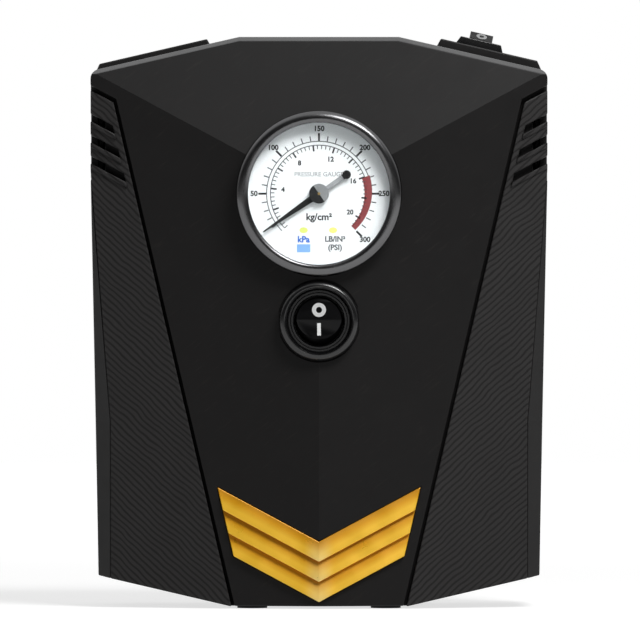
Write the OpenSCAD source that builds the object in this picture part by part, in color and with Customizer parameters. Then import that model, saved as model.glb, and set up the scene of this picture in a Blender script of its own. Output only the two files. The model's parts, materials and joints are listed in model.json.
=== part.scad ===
// Portable tire inflator: a standing 12 V piston compressor in a faceted case,
// with a dial gauge, a round main switch and a small lamp switch.
// Millimetres. +Z is up, the dial faces -Y and the base rests on Z = 0.

/* [Case] */
// Widest point of the case, across its shoulders
case_w = 137; // [130:1:150]
// Height of the flat crown above the ground
case_h = 171.3; // [168:0.1:185]
// Depth of the case behind the foremost point of its front cover
case_d = 72; // [68:1:90]
// Depth at which the front cover meets the rear cover
split_depth = 24; // [23:0.5:28]
// Wall thickness of both covers
wall_t = 2.4; // [2:0.1:3]
// Width of the flat crown
crown_w = 48; // [40:1:60]
// Drop of the outer shoulder corners below the crown
shoulder_drop = 10.3; // [8:0.1:13]
// Radius of the outer shoulder corners in the front outline
shoulder_r = 3; // [1:0.5:5]
// Distance below the crown at which the sides begin to taper
knee_drop = 42.3; // [37:0.1:50]
// Inward lean of each side from there down to the lower corner
hem_taper = 2.2; // [1:0.1:5]
// Height of the lower corners
hem_z = 9.6; // [9:0.2:14]
// Width of the flat underside
base_w = 54; // [48:0.2:60]
// Chamfer round the back edge
back_chamfer = 3; // [1:0.25:3.5]

/* [Front facets] */
// Distance below the crown of the apex of the facets, which is the dial's centre
apex_drop = 47.3; // [45.3:0.1:49.3]
// Backward lean of the crown facet, in degrees
crown_lean = 18.1; // [15:0.1:20]
// Backward sweep of the two face facets, in degrees
face_sweep = 10; // [8:0.5:12]
// Height of the chamfer along the upper edge of the front cover
top_chamfer = 1.3; // [0.6:0.1:2]
// Extra backward sweep of the side panels, as rise over run
panel_sweep = 0.15; // [0.1:0.01:0.2]
// Extra backward sweep of the bevel outside the side panels, as rise over run
edge_sweep = 1; // [0.8:0.05:1.1]

/* [Side panels] */
// Distance of the grooves' upper ends from the sides
groove_inset = 7.3; // [6.5:0.1:10]
// Distance of the grooves' upper ends below the crown
groove_drop = 19.3; // [17.3:0.1:23]
// Slope of the grooves from vertical, in degrees
groove_slope = 13.2; // [12:0.1:14]
// Width of the groove between a side panel and the front cover
groove_w = 1; // [0.5:0.1:1.5]
// Thickness of the side panels
panel_t = 3; // [2.5:0.1:3.5]
// Slope of the side panels' top edges and slots, in degrees
louvre_slope = 28; // [20:1:32]
// Number of louvre slots in each side panel
louvre_count = 3; // [1:1:3]
// Distance of the top louvre slot below the crown, at the outer edge
louvre_drop = 24.3; // [23.3:0.1:25.3]
// Spacing of the louvre slots
louvre_pitch = 6.3; // [5.5:0.1:6.5]
// Height of one louvre slot
louvre_h = 2.2; // [1.5:0.1:2.6]
// Height of the lip under a louvre slot
lip_h = 1.5; // [1:0.1:2]
// Stand of the lips above the panel
lip_proud = 0.8; // [0.3:0.1:1.2]
// Distance below the crown at which the panels' outer edges leave the outline
panel_knee_drop = 40.3; // [38.3:0.1:41.8]
// Height at which the panels' outer edges turn vertical
panel_low_z = 56; // [50:1:62]
// Width of the bevel outside the panels at that height
panel_edge_w = 4.6; // [3.7:0.1:5.7]

/* [Chevron trim] */
// Height of the chevron's upper vertex
chevron_z = 20.1; // [19.5:0.1:24]
// Slope of the chevron's arms, in degrees
chevron_slope = 28.1; // [24:0.1:30]
// Number of bands
chevron_bands = 3; // [2:1:3]
// Spacing of the bands
chevron_pitch = 6; // [5:0.1:6.1]
// Distance of the chevron's ends from the grooves
chevron_margin = 3.6; // [3:0.1:6]
// Depth of the recess that holds the chevron
chevron_recess = 1.2; // [0.8:0.1:1.4]
// Stand of each band's upper edge above the facets
band_low = 0.3; // [0.1:0.1:0.6]
// Stand of each band's lower edge above the facets
band_high = 1.8; // [1:0.1:2.4]

/* [Gauge] */
// Outer diameter of the bezel
bezel_d = 49.6; // [49:0.2:52]
// Opening of the bezel, which is the dial that shows
dial_d = 42.4; // [41:0.2:43]
// Outer diameter of the gauge case
gauge_d = 44; // [43.6:0.1:45]
// Stand of the bezel in front of the apex
bezel_proud = 4; // [3:0.2:5]
// Stand of the seat under the bezel in front of the apex
seat_proud = 1.2; // [0.8:0.1:1.6]
// Depth of the gauge case behind the apex
gauge_depth = 21; // [20:0.5:22]
// Thickness of the gauge case
gauge_wall = 0.8; // [0.6:0.1:1]
// Thickness of the clear lens
lens_t = 1.6; // [1.2:0.1:1.8]
// Length of the pointer from its axis to its tip
pointer_len = 20.2; // [16:0.2:20.4]
// Length of the pointer's tail
tail_len = 10; // [6:0.5:12]
// Diameter of the pointer's hub
hub_d = 5.9; // [4:0.1:7]
// Angle of the pointer at zero, anticlockwise from the right seen from the front
zero_angle = 214.5; // [210:0.5:225]
// Sweep of the pointer over the scale
scale_sweep = 262; // [240:1:268]
// Gear module of the gauge movement
movement_module = 0.22; // [0.2:0.01:0.24]
// Teeth of the pointer's pinion
arbor_teeth = 12; // [12:1:13]
// Teeth of a whole gear of the sector's size
sector_teeth = 96; // [90:2:100]
// Centre-line radius of the bourdon tube
bourdon_r = 16.4; // [15.8:0.1:17]

/* [Main switch] */
// Distance of the main switch's axis below the dial's centre
main_switch_drop = 38; // [37.6:0.1:40]
// Outer diameter of the switch's ring
ring_d = 24; // [22.4:0.2:26]
// Bore of the collar inside the ring
ring_bore = 15; // [14:0.1:15.4]
// Stand of the collar in front of the keel
collar_proud = 1.9; // [1.6:0.1:2.4]
// Diameter of the switch's body behind the panel
switch_body_d = 19.8; // [19.4:0.1:20.4]
// Stand of the ring in front of the keel
ring_proud = 3.2; // [2.4:0.1:4]
// Depth of the switch's body behind the keel
switch_depth = 17; // [15:0.5:18]
// Angle of each half of the rocker's face
rocker_vee = 11; // [8:1:13]
// Travel of the rocker between off and on, in degrees
rocker_throw = 22; // [16:1:24]

/* [Shoulder pads] */
// Stand of the left pad above its shoulder
left_pad_h = 1.8; // [1.2:0.1:2.2]
// Stand of the right pad above its shoulder
right_pad_h = 2.6; // [2:0.1:3]
// Inner end of the left pad, from the centre
left_pad_x = 32.8; // [32:0.2:38]
// Inner end of the right pad, from the centre
right_pad_x = 35.4; // [34:0.2:38.5]
// Gap between the front cover and the pads
pad_setback = 1; // [0.5:0.1:2]
// Depth of the pads along the case
pad_d = 40; // [36:0.5:42]
// Distance of the lamp switch's middle from the right side
lamp_switch_inset = 20.7; // [18.9:0.1:21.5]
// Width of the lamp switch's frame at its foot
lamp_frame_w = 14.6; // [14.4:0.1:16]
// Length of the lamp switch's frame
lamp_frame_d = 21; // [20:0.5:22]
// Height of the lamp switch's frame
lamp_frame_h = 2.4; // [2:0.1:3]
// Width of the lamp switch's rocker
lamp_rocker_w = 7; // [6.8:0.1:8]
// Length of the lamp switch's rocker
lamp_rocker_d = 13; // [12:0.2:13.6]
// Travel of the lamp switch's rocker, in degrees
lamp_throw = 24; // [16:1:26]
// Angle of each half of the lamp rocker's face
lamp_vee = 14; // [12:1:15]
// Distance of the lamp window's middle from the left side
lamp_inset = 17.5; // [17.1:0.1:18.5]
// Width of the lamp's window
lamp_w = 22; // [18:0.5:23]
// Length of the lamp's window
lamp_d = 26; // [20:0.5:30]

/* [Storage bay] */
// Distance of the bay from each side of the case
bay_side = 28.5; // [28:0.5:30.5]
// Gap between the pump's head and the bay
bay_gap = 7.2; // [6.7:0.1:10]
// Distance of the bay's ceiling below the crown
bay_drop = 23.3; // [22.3:0.1:28]
// Depth of the bay's inner wall behind the apex
bay_depth = 40; // [39:0.5:44]
// Height of the gland and the outlet above the bay's floor
outlet_rise = 19; // [13:0.5:27]
// Distance of the gland and the outlet from the bay's sides
outlet_inset = 9; // [8:0.1:11]
// Bore of the lead gland
gland_bore = 6.4; // [5:0.1:7]
// Diameter of the hose outlet's barrel
nipple_d = 6; // [5:0.1:6.4]
// Length of the hose outlet in the bay
nipple_len = 16; // [12:0.5:20]

/* [Pump] */
// Distance of the pump's centre plane from the back of the case
pump_back = 25; // [24.5:0.25:26]
// Distance of the motor's axis left of the centre
motor_x = 36; // [35:0.5:37]
// Height of the motor's lower face
motor_z = 18; // [17:0.25:18.5]
// Length of the motor's can
motor_len = 45; // [42:0.5:46]
// Diameter of the motor's can
motor_d = 35; // [33:0.5:35.4]
// Diameter of the motor's shaft
motor_shaft_d = 3.2; // [2.5:0.1:4]
// Thickness of the pump's bracket
bracket_t = 3; // [2.5:0.1:3.5]
// Gear module of the reduction
gear_module = 0.8; // [0.75:0.05:0.8]
// Teeth of the motor's pinion
pinion_teeth = 12; // [12:1:13]
// Teeth of the crank gear
crank_teeth = 48; // [44:2:48]
// Face width of the crank gear
gear_t = 6; // [5:0.25:7]
// Stroke of the piston
stroke = 12; // [8:0.5:12]
// Bore of the cylinder
cylinder_bore = 22; // [18:0.5:23]
// Distance from the crank pin to the piston's crown
rod_len = 39; // [38:0.5:42]
// Thickness of the connecting rod
rod_t = 5; // [4:0.25:5.5]
// Number of cooling fins
fin_count = 5; // [3:1:6]
// Diameter of the fins
fin_d = 33; // [31:0.5:34]
// Width of the cylinder head
head_w = 30; // [29:0.5:31]
// Outer diameter of the outlet hose
hose_d = 7; // [6.6:0.1:7.4]
// Outer diameter of the thin hose to the gauge
gauge_hose_d = 5; // [4.8:0.1:5.4]

/* [Feet and screws] */
// Height of the rubber feet
foot_h = 0.8; // [0.6:0.1:3]
// Diameter of the rubber feet
foot_d = 9; // [7:0.5:10]
// Distance of the feet from the centre
foot_x = 20; // [18:0.5:20.5]
// Diameter of the housing screws
screw_d = 3; // [2.5:0.1:3.2]
// Length of the housing screws
screw_len = 30; // [26:0.5:31]
// Diameter of the screw posts
post_d = 8; // [7.6:0.1:8.6]
// Distance of the upper screws from the sides
post_inset = 13; // [12.6:0.1:13.6]
// Distance of the lower screws from the centre
low_post_x = 14; // [13:0.1:15]

/* [Hidden] */

$fn = 64;
reach = 300; // half size of the half spaces' blocks
touch = 0.01; // overlap that closes seams
running = 0.05; // radial play of a shaft in its bearing
slack = 0.3; // clearance between moving pieces
arc_steps = 6; // straight steps of a rounded corner
screw_seat = 48; // depth of the housing screws' heads
apex_y = (bezel_proud - case_d) / 2;

shoulder_z = case_h - shoulder_drop;
knee_z = case_h - knee_drop;
hem_w = case_w - 2 * hem_taper;
apex_z = case_h - apex_drop;
groove_top_x = case_w / 2 - groove_inset;
groove_top_z = case_h - groove_drop;
louvre_z = case_h - louvre_drop;
panel_knee_z = case_h - panel_knee_drop;
main_switch_z = apex_z - main_switch_drop;
lamp_switch_x = case_w / 2 - lamp_switch_inset;
lamp_x = case_w / 2 - lamp_inset;

pump_depth = case_d - pump_back;
motor_top = motor_z + motor_len;
bracket_top = motor_top + bracket_t;
gear_z = bracket_top + 1.4; // underside of the crank gear
disc_t = 2.2;
rod_z = gear_z + gear_t + disc_t + slack + 2 + rod_t / 2; // height of the cylinder's axis
centre_distance = (pinion_teeth + crank_teeth) * gear_module / 2;
crank_x = centre_distance - motor_x;

bay_w = case_w - 2 * bay_side;
bay_z = rod_z + head_w / 2 + bay_gap + wall_t;
bay_h = case_h - bay_drop - bay_z;
outlet_x = bay_w / 2 - outlet_inset;
outlet_z = bay_z + outlet_rise;

black_abs = [0.16, 0.155, 0.155];
panel_grey = [0.22, 0.215, 0.215];
gold = [0.92, 0.68, 0.14];
chrome = [0.45, 0.45, 0.47];
steel = [0.72, 0.73, 0.75];
brass = [0.80, 0.66, 0.35];
copper = [0.72, 0.42, 0.25];
cast_metal = [0.62, 0.63, 0.64];
rubber = [0.10, 0.10, 0.10];
nylon = [0.93, 0.92, 0.88];
clear = [0.85, 0.9, 0.92, 0.4];

// ---- Plane geometry ----

function unit(v) = v / norm(v);
function left_of(a, b) = let (d = unit(b - a)) [-d.y, d.x];
function meet(p, r, q, s) = p + r * cross(q - p, s) / cross(r, s);

// A convex outline, anticlockwise, with every edge moved inwards by d
function inset(pts, d) = let (n = len(pts))
    [for (i = [0:n - 1]) let (
        a = pts[(i + n - 1) % n], b = pts[i], c = pts[(i + 1) % n])
        meet(a + left_of(a, b) * d, b - a, b + left_of(b, c) * d, c - b)];

// The arc that rounds corner b between its neighbours a and c
function corner_arc(a, b, c, r) = let (
    u = unit(a - b), v = unit(c - b), half = acos(u * v) / 2,
    centre = b + unit(u + v) * r / sin(half),
    start = b + u * r / tan(half) - centre, stop = b + v * r / tan(half) - centre,
    from = atan2(start.y, start.x),
    turn = (atan2(stop.y, stop.x) - from + 540) % 360 - 180)
    [for (i = [0:arc_steps]) let (t = from + turn * i / arc_steps) centre + r * [cos(t), sin(t)]];

function mirrored(pts) = [for (i = [len(pts) - 1:-1:0]) [-pts[i].x, pts[i].y]];

right_outline = [[base_w / 2, foot_h], [hem_w / 2, hem_z], [case_w / 2, knee_z],
    [case_w / 2, shoulder_z], [crown_w / 2, case_h]];
sharp_outline = concat(right_outline, mirrored(right_outline));
// The outer shoulder corners of an outline are its points 3 and 6
function rounded_shoulders(pts) = [for (i = [0:len(pts) - 1]) each (i == 3 || i == 6)
    ? corner_arc(pts[i - 1], pts[i], pts[i + 1], shoulder_r) : [pts[i]]];

// ---- Solids in the case's own depth: 0 at the apex, growing towards the back ----

module from_apex() { translate([0, apex_y, 0]) children(); }

// An outline in X and Z, extruded from depth y0 to depth y1
module prism(pts, y0, y1) {
    translate([0, y1, 0]) rotate([90, 0, 0]) linear_extrude(y1 - y0) polygon(pts);
}

// A round bar along Y
module bar_y(r, y0, y1) { translate([0, y0, 0]) rotate([-90, 0, 0]) cylinder(r = r, h = y1 - y0); }

// A round bar along X
module bar_x(r, x0, x1) { translate([x0, 0, 0]) rotate([0, 90, 0]) cylinder(r = r, h = x1 - x0); }

// A block by its lowest and highest corners
module block(low, high) { translate(low) cube(high - low); }

// Everything behind the plane y = y0 + gx x + gz z, moved back by d along its normal
module behind(gx, gz, y0, d = 0) {
    slant = norm([gx, 1, gz]);
    translate([0, y0 + d * slant, 0])
        rotate(a = acos(1 / slant), v = (slant > 1) ? cross([0, 1, 0], [-gx, 1, -gz]) : [1, 0, 0])
        translate([-reach, 0, -reach]) cube([2 * reach, reach, 2 * reach]);
}

crown_k = tan(crown_lean);
face_k = tan(face_sweep);
panel_k = face_k + panel_sweep;
groove_k = tan(groove_slope);
groove_x0 = groove_top_x - groove_k * groove_top_z; // groove's half width at Z = 0
panel_y0 = -panel_sweep * groove_x0;
panel_kz = -panel_sweep * groove_k;
chamfer_lean = 1.5; // lean of the upper chamfer beyond the crown facet's, rise over run

function groove_x(z) = groove_x0 + groove_k * z;
function side_x(z) = (z > knee_z) ? case_w / 2
    : case_w / 2 + (hem_w - case_w) / 2 * (knee_z - z) / (knee_z - hem_z);
function hem_line(x) = foot_h + (hem_z - foot_h) * (x - base_w / 2) / ((hem_w - base_w) / 2);

module behind_crown(d = 0) { behind(0, crown_k, -crown_k * apex_z, d); }
// The chamfer above the crown facet, on a line of slope k from height z at X = 0
module behind_chamfer(k = tan(shoulder_angle), z = shoulder_line(0), d = 0) {
    translate([0, 0, apex_z])
        behind(chamfer_lean * k, crown_k + chamfer_lean, chamfer_lean * (apex_z - z + top_chamfer), d);
}
module behind_face(d = 0) { behind(face_k, 0, 0, d); }
module behind_panel(d = 0) { behind(panel_k, panel_kz, panel_y0, d); }

// The bevel outside a side panel: a leaning stretch above, an upright one below
panel_low_x = side_x(panel_low_z) - panel_edge_w;
panel_edge_k = (side_x(panel_knee_z) - panel_low_x) / (panel_knee_z - panel_low_z);
panel_edge_x0 = panel_low_x - panel_edge_k * panel_low_z;
ridge_end = min(knee_z, panel_knee_z) - 1; // the bevel is too thin to mould above this
module behind_bevel(d = 0) {
    behind(panel_k + edge_sweep, panel_kz - edge_sweep * panel_edge_k,
        panel_y0 - edge_sweep * panel_edge_x0, d);
    behind(panel_k + edge_sweep, panel_kz, panel_y0 - edge_sweep * panel_low_x, d);
}

// Right half of the face outside the groove's middle, its inner and top edges moved in by d
function panel_outline(d) = let (
    low_k = (hem_z - foot_h) / ((hem_w - base_w) / 2),
    top_z = groove_top_z - d,
    x_in = groove_x(top_z) + d,
    low_in = meet([groove_x0 + d, 0], [groove_k, 1], [base_w / 2, foot_h], [1, low_k]))
    [low_in, [panel_low_x, hem_line(panel_low_x)], [panel_low_x, panel_low_z],
        [side_x(panel_knee_z), panel_knee_z],
        [case_w / 2, top_z + tan(louvre_slope) * (case_w / 2 - x_in)], [x_in, top_z]];

// Room for a side panel, open towards the side and the underside
function panel_pocket(d) = let (p = panel_outline(-groove_w / 2 - d), open = 4)
    [p[0] - [groove_k, 1] * open, [panel_low_x, -open], p[2],
        [panel_edge_x0 + panel_edge_k * ridge_end, ridge_end], [case_w / 2 + open, ridge_end],
        p[4] + [1, tan(louvre_slope)] * open, p[5]];

module mirrored_pair() {
    children();
    mirror([1, 0, 0]) children();
}

// ---- Covers ----

mid_post_z = bay_z - 12;
mid_post_x = side_x(mid_post_z) - post_d / 2 - 5.1;
post_places = [for (s = [-1, 1]) each [[s * (case_w / 2 - post_inset), louvre_z],
    [s * mid_post_x, mid_post_z],
    [s * low_post_x, foot_h + 9.3]]];

// The block of the front cover, pushed in by d on each facet
module front_block(d, back) {
    intersection() {
        prism(d > 0 ? inset(sharp_outline, d) : rounded_shoulders(sharp_outline), -2, back);
        behind_crown(d);
        behind_face(d);
        mirror([1, 0, 0]) behind_face(d);
        behind_chamfer(0, case_h, d);
        behind_chamfer(d = d);
        mirror([1, 0, 0]) behind_chamfer(d = d);
    }
}

// What the bevels outside the side panels take away
module bevel_cut(d) {
    mirrored_pair() difference() {
        prism([[panel_low_x - d, 0], [case_w, 0], [case_w, panel_knee_z],
            [side_x(panel_knee_z) - d, panel_knee_z], [panel_low_x - d, panel_low_z]], -5, split_depth + 2);
        behind_bevel(d);
    }
}

// What the side panels' pockets take away, grown by d
module pocket_cut(d) {
    mirrored_pair() difference() {
        prism(panel_pocket(d), -5, split_depth + 2);
        behind_panel(panel_t + d);
    }
}

// One louvre slot's outline at the right
function louvre_outline(i, drop, h) = let (
    k = tan(louvre_slope), x1 = case_w / 2 + 4,
    z1 = louvre_z - i * louvre_pitch - drop + k * (x1 - case_w / 2),
    top_in = meet([x1, z1 + h / 2], [1, k], [groove_x0 + 2.4, 0], [groove_k, 1]),
    low_in = meet([x1, z1 - h / 2], [1, k], [groove_x0 + 2.4, 0], [groove_k, 1]))
    [low_in, [x1, z1 - h / 2], [x1, z1 + h / 2], top_in];

module screw_post(place, y0, y1) {
    translate([place.x, 0, place.y]) bar_y(post_d / 2, y0, y1);
}

module front_cover() {
    seat_r = bezel_d / 2 - 0.4;
    gauge_hole = gauge_d / 2 + 0.1;
    switch_seat_y = face_k * ring_d / 2;
    color(black_abs) from_apex() difference() {
        union() {
            difference() {
                front_block(0, split_depth);
                difference() {
                    front_block(wall_t, split_depth + 1);
                    pocket_cut(wall_t);
                    bevel_cut(wall_t);
                    // Thicker ground round the two bores
                    translate([0, 0, apex_z]) bar_y(seat_r, -2, 12);
                    translate([0, 0, main_switch_z]) bar_y(ring_d / 2 + 1.5, -2, 6);
                    for (p = post_places) screw_post(p, 0, split_depth);
                }
            }
            translate([0, 0, apex_z]) bar_y(seat_r, -seat_proud, 10);
        }
        pocket_cut(0);
        bevel_cut(0);
        translate([0, 0, apex_z]) bar_y(gauge_hole, -seat_proud - 1, 13);
        translate([0, 0, main_switch_z]) bar_y(ring_d / 2 + 0.1, -1, switch_seat_y);
        translate([0, 0, main_switch_z]) bar_y(switch_body_d / 2 + 0.1, -1, 7);
        chevron_recesses();
        for (p = post_places)
            translate([p.x, 0, p.y])
                bar_y(screw_d / 2 + running, screw_seat - screw_len - 0.5, split_depth + 1);
        mirrored_pair() for (i = [0:louvre_count - 1])
            intersection() {
                prism(louvre_outline(i, 0, louvre_h), -1, split_depth - 4);
                block([groove_top_x + 3, 0, 0], [case_w, split_depth, case_h]);
            }
    }
}

module rear_cover() {
    in = inset(sharp_outline, wall_t);
    lip_gap = 0.1;
    lip_t = 1.3;
    lip_reach = 2;
    color(black_abs) from_apex() difference() {
        union() {
            difference() {
                prism(rounded_shoulders(sharp_outline), split_depth, case_d);
                prism(in, split_depth - 1, case_d - wall_t);
            }
            // Lip that locates the front cover, clear of the side panels' pockets
            difference() {
                union() {
                    prism(inset(sharp_outline, wall_t + lip_gap), split_depth - lip_reach,
                        split_depth + touch);
                    prism(inset(sharp_outline, wall_t - touch), split_depth, split_depth + 2 * lip_reach);
                }
                prism(inset(sharp_outline, wall_t + lip_gap + lip_t), split_depth - 3, split_depth + 5);
                mirrored_pair() block([46, 0, -1], [case_w, split_depth + touch, case_h]);
            }
            shoulder_pad(1, right_pad_x);
            shoulder_pad(-1, left_pad_x);
            for (p = post_places) screw_post(p, split_depth, case_d - touch);
            // Shelf under the motor and posts behind the pump's bracket
            block([-motor_x - shelf_half, pump_depth - mount_r - 2, shelf_z - wall_t],
                [-motor_x + shelf_half, case_d - wall_t + touch, shelf_z]);
            for (p = bracket_posts)
                translate([p.x, 0, p.y]) bar_y(5, flange_y + flange_t + mount_t, case_d - wall_t + touch);
        }
        bay_room();
        back_edge_cuts();
        for (p = post_places) translate([p.x, 0, p.y]) {
            bar_y(screw_d / 2 + 0.2, split_depth - 3, case_d + 1);
            bar_y(screw_d + 0.2, screw_seat, case_d + 1);
        }
        // Cooling slots behind the motor and the cylinder
        for (s = [-1, 1], i = [0:vent_count - 1])
            translate([s * vent_x, 0, vent_z + i * vent_pitch])
                block([-vent_w / 2, case_d - wall_t - 1, -vent_h / 2], [vent_w / 2, case_d + 1, vent_h / 2]);
        on_shoulder(1, lamp_switch_x)
            block([-lamp_body_w / 2 - 0.1, -lamp_body_d / 2 - 0.1, -12],
                [lamp_body_w / 2 + 0.1, lamp_body_d / 2 + 0.1, 2]);
        on_shoulder(-1, lamp_x) {
            block([-lamp_w / 2 - 0.1, -lamp_d / 2 - 0.1, -lamp_lens_t],
                [lamp_w / 2 + 0.1, lamp_d / 2 + 0.1, 2]);
            block([-lamp_w / 2 + 1.5, -lamp_d / 2 + 1.5, -12], [lamp_w / 2 - 1.5, lamp_d / 2 - 1.5, 2]);
        }
    }
}

// The room for the hose and the lead, open at the back
module bay_room() {
    block([-bay_w / 2, bay_depth, bay_z], [bay_w / 2, case_d + 1, bay_z + bay_h]);
}

// A tray against the inside of the back wall
module storage_bay() {
    color(black_abs) from_apex() difference() {
        block([-bay_w / 2 - wall_t, bay_depth - wall_t, bay_z - wall_t],
            [bay_w / 2 + wall_t, case_d - wall_t, bay_z + bay_h + wall_t]);
        bay_room();
        mirrored_pair() translate([outlet_x, 0, outlet_z])
            bar_y(fitting_r, bay_depth - wall_t - 1, bay_depth + 1);
    }
}

vent_count = 6;
vent_x = 36;
vent_z = 26;
vent_pitch = 6;
vent_w = 40;
vent_h = 2.4;

shoulder_angle = atan((case_h - shoulder_z) / ((case_w - crown_w) / 2));
function shoulder_line(x) = shoulder_z + tan(shoulder_angle) * (case_w / 2 - x);

// On top of a shoulder pad: X along the slope outwards, Z away from the case
module on_shoulder(side, x) {
    translate([side * x, pad_centre, shoulder_line(x)])
        rotate([0, side * shoulder_angle, 0])
        translate([0, 0, pad_h(side)]) children();
}
pad_centre = split_depth + pad_setback + pad_d / 2;
function pad_h(side) = side > 0 ? right_pad_h : left_pad_h;

module shoulder_pad(side, x_in) {
    x_out = case_w / 2 - shoulder_r / 2;
    end = pad_h(side) / 2;
    rise = pad_h(side) / cos(shoulder_angle);
    mirror([side > 0 ? 0 : 1, 0, 0])
        prism([[x_in, shoulder_line(x_in) - 1], [x_out, shoulder_line(x_out) - 1],
            [x_out, shoulder_line(x_out)], [x_out - end, shoulder_line(x_out - end) + rise],
            [x_in + end, shoulder_line(x_in + end) + rise], [x_in, shoulder_line(x_in)]],
            split_depth + pad_setback, split_depth + pad_setback + pad_d);
}

// A 45 degree chamfer along every edge of the back face
module back_edge_cuts() {
    n = len(sharp_outline);
    for (i = [0:n - 1]) {
        a = sharp_outline[i];
        b = sharp_outline[(i + 1) % n];
        out = -left_of(a, b);
        mid = (a + b) / 2;
        translate([mid.x, case_d, mid.y])
            rotate([0, -atan2(out.y, out.x), 0])
            rotate([0, 0, 45])
            translate([-back_chamfer / sqrt(2), -reach / 2, -reach / 2]) cube([reach / 2, reach, reach]);
    }
}

module side_panel() {
    difference() {
        union() {
            intersection() {
                difference() {
                    prism(panel_outline(groove_w / 2), -5, split_depth + 5);
                    behind_panel(panel_t);
                }
                behind_panel();
            }
            for (i = [0:louvre_count - 1]) intersection() {
                difference() {
                    prism(louvre_outline(i, (louvre_h + lip_h) / 2, lip_h), -5, split_depth + 5);
                    behind_panel(panel_t / 2);
                }
                behind_panel(-lip_proud);
                block([0, -reach, 0], [case_w / 2, reach, case_h]);
            }
        }
        for (i = [0:louvre_count - 1])
            prism(louvre_outline(i, 0, louvre_h), -6, split_depth + 6);
    }
}

module side_panel_right() { color(panel_grey) from_apex() side_panel(); }
module side_panel_left() { color(panel_grey) from_apex() mirror([1, 0, 0]) side_panel(); }

// ---- Chevron ----

chevron_k = tan(chevron_slope);
// Where an arm's edge from height z on the centre line meets the arm's end
function chevron_end(z) = let (
    x = (groove_x(z) - chevron_margin / cos(groove_slope)) / (1 - groove_k * chevron_k))
    [x, z + chevron_k * x];
function chevron_arm(z_top, z_low) = [[0, z_low], chevron_end(z_low), chevron_end(z_top), [0, z_top]];
function band_z(i) = chevron_z - i * chevron_pitch;

module chevron_recesses() {
    mirrored_pair() difference() {
        prism(chevron_arm(chevron_z, band_z(chevron_bands)), -5, 12);
        behind_face(chevron_recess);
    }
}

module chevron_trim() {
    tilt = (band_high - band_low) / chevron_pitch;
    color(gold) from_apex() mirrored_pair() for (i = [0:chevron_bands - 1])
        difference() {
            intersection() {
                prism(chevron_arm(band_z(i), band_z(i + 1)), -8, 12);
                behind(face_k - tilt * chevron_k, tilt, -band_low - tilt * band_z(i));
            }
            behind_face(chevron_recess);
        }
}

// ---- Gauge, drawn about its own axis ----

module on_gauge() { from_apex() translate([0, 0, apex_z]) children(); }

lens_y = -bezel_proud + 1; // front face of the lens
dial_y = 0.6; // front face of the dial
dial_t = 0.6;
pointer_y = -0.9; // front face of the pointer's hub
hub_t = 0.9;
movement_y = 5.6; // front face of the front movement plate
plate_t = 0.8;
movement_gap = 4.6; // space between the movement plates
pinion_y = 8;
movement_face = 1.8;
link_y = 10.15;
link_t = 0.6;
stem_z = -13.2; // stem's axis below the pointer's
arbor_r = 0.6;
sector_pivot = -(arbor_teeth + sector_teeth) * movement_module / 2;
sector_ratio = sector_teeth / arbor_teeth;

module gauge_bezel() {
    r = bezel_d / 2;
    color(chrome) on_gauge() rotate([90, 0, 0]) rotate_extrude()
        polygon(concat(
            [[gauge_d / 2 + 0.05, seat_proud], [r - 0.4, seat_proud], [r, seat_proud + 0.5]],
            [for (i = [0:arc_steps]) let (a = 90 * i / arc_steps)
                [r - 1.4 + 1.4 * cos(a), bezel_proud - 1.4 + 1.4 * sin(a)]],
            [[dial_d / 2 + 0.7, bezel_proud], [dial_d / 2, -lens_y + 0.2], [dial_d / 2, -lens_y + 0.02],
                [gauge_d / 2 + 0.05, -lens_y + 0.02]]));
}

module gauge_lens() {
    color(clear) on_gauge() bar_y(gauge_d / 2, lens_y, lens_y + lens_t);
}

module gauge_case() {
    r = gauge_d / 2;
    color(steel) on_gauge() difference() {
        bar_y(r, lens_y + lens_t, gauge_depth);
        bar_y(r - gauge_wall, lens_y + lens_t - 1, gauge_depth - gauge_wall);
        translate([0, 0, stem_z]) bar_y(stem_r + running, gauge_depth - 2, gauge_depth + 1);
    }
}

module gauge_dial() {
    color("white") on_gauge() difference() {
        bar_y(gauge_d / 2 - gauge_wall - running, dial_y, dial_y + dial_t);
        bar_y(arbor_r + slack, dial_y - 1, dial_y + 2);
    }
}

module gauge_pointer() {
    blade_root = 1.1;
    blade_tip = 0.2;
    tail_half = 0.8;
    color("black") on_gauge() rotate([0, -zero_angle, 0]) difference() {
        union() {
            bar_y(hub_d / 2, pointer_y, pointer_y + hub_t);
            prism([[0, -blade_root], [pointer_len, -blade_tip], [pointer_len, blade_tip], [0, blade_root]],
                pointer_y + 0.2, pointer_y + 0.7);
            prism([[0, tail_half * 0.8], [-tail_len, tail_half],
                [-tail_len, -tail_half], [0, -tail_half * 0.8]],
                pointer_y + 0.2, pointer_y + 0.7);
            translate([-tail_len, 0, 0]) bar_y(tail_half + 0.5, pointer_y + 0.2, pointer_y + 0.7);
        }
        bar_y(arbor_r - 0.2 + touch, pointer_y - 1, pointer_y + 2);
    }
}

// Involute gear outline: half the tooth's angle at radius r
function involute(a) = tan(a) * 180 / PI - a;
function tooth_half(r, rp, pa, half) = let (rb = rp * cos(pa))
    half + involute(pa) - ((r > rb) ? involute(acos(rb / r)) : 0);
function gear_teeth(teeth, m, lash, first, last) = let (
    pa = 25, rp = teeth * m / 2, root = rp - 1.15 * m, tip = rp + 0.9 * m,
    half = 90 / teeth - lash / 4 / rp * 180 / PI,
    radii = [root, rp - 0.55 * m, rp, rp + 0.45 * m, tip])
    [for (i = [first:last], s = [-1, 1], j = [0:4]) let (
        r = radii[s < 0 ? j : 4 - j], a = i * 360 / teeth + s * tooth_half(r, rp, pa, half))
        r * [cos(a), sin(a)]];

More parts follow.
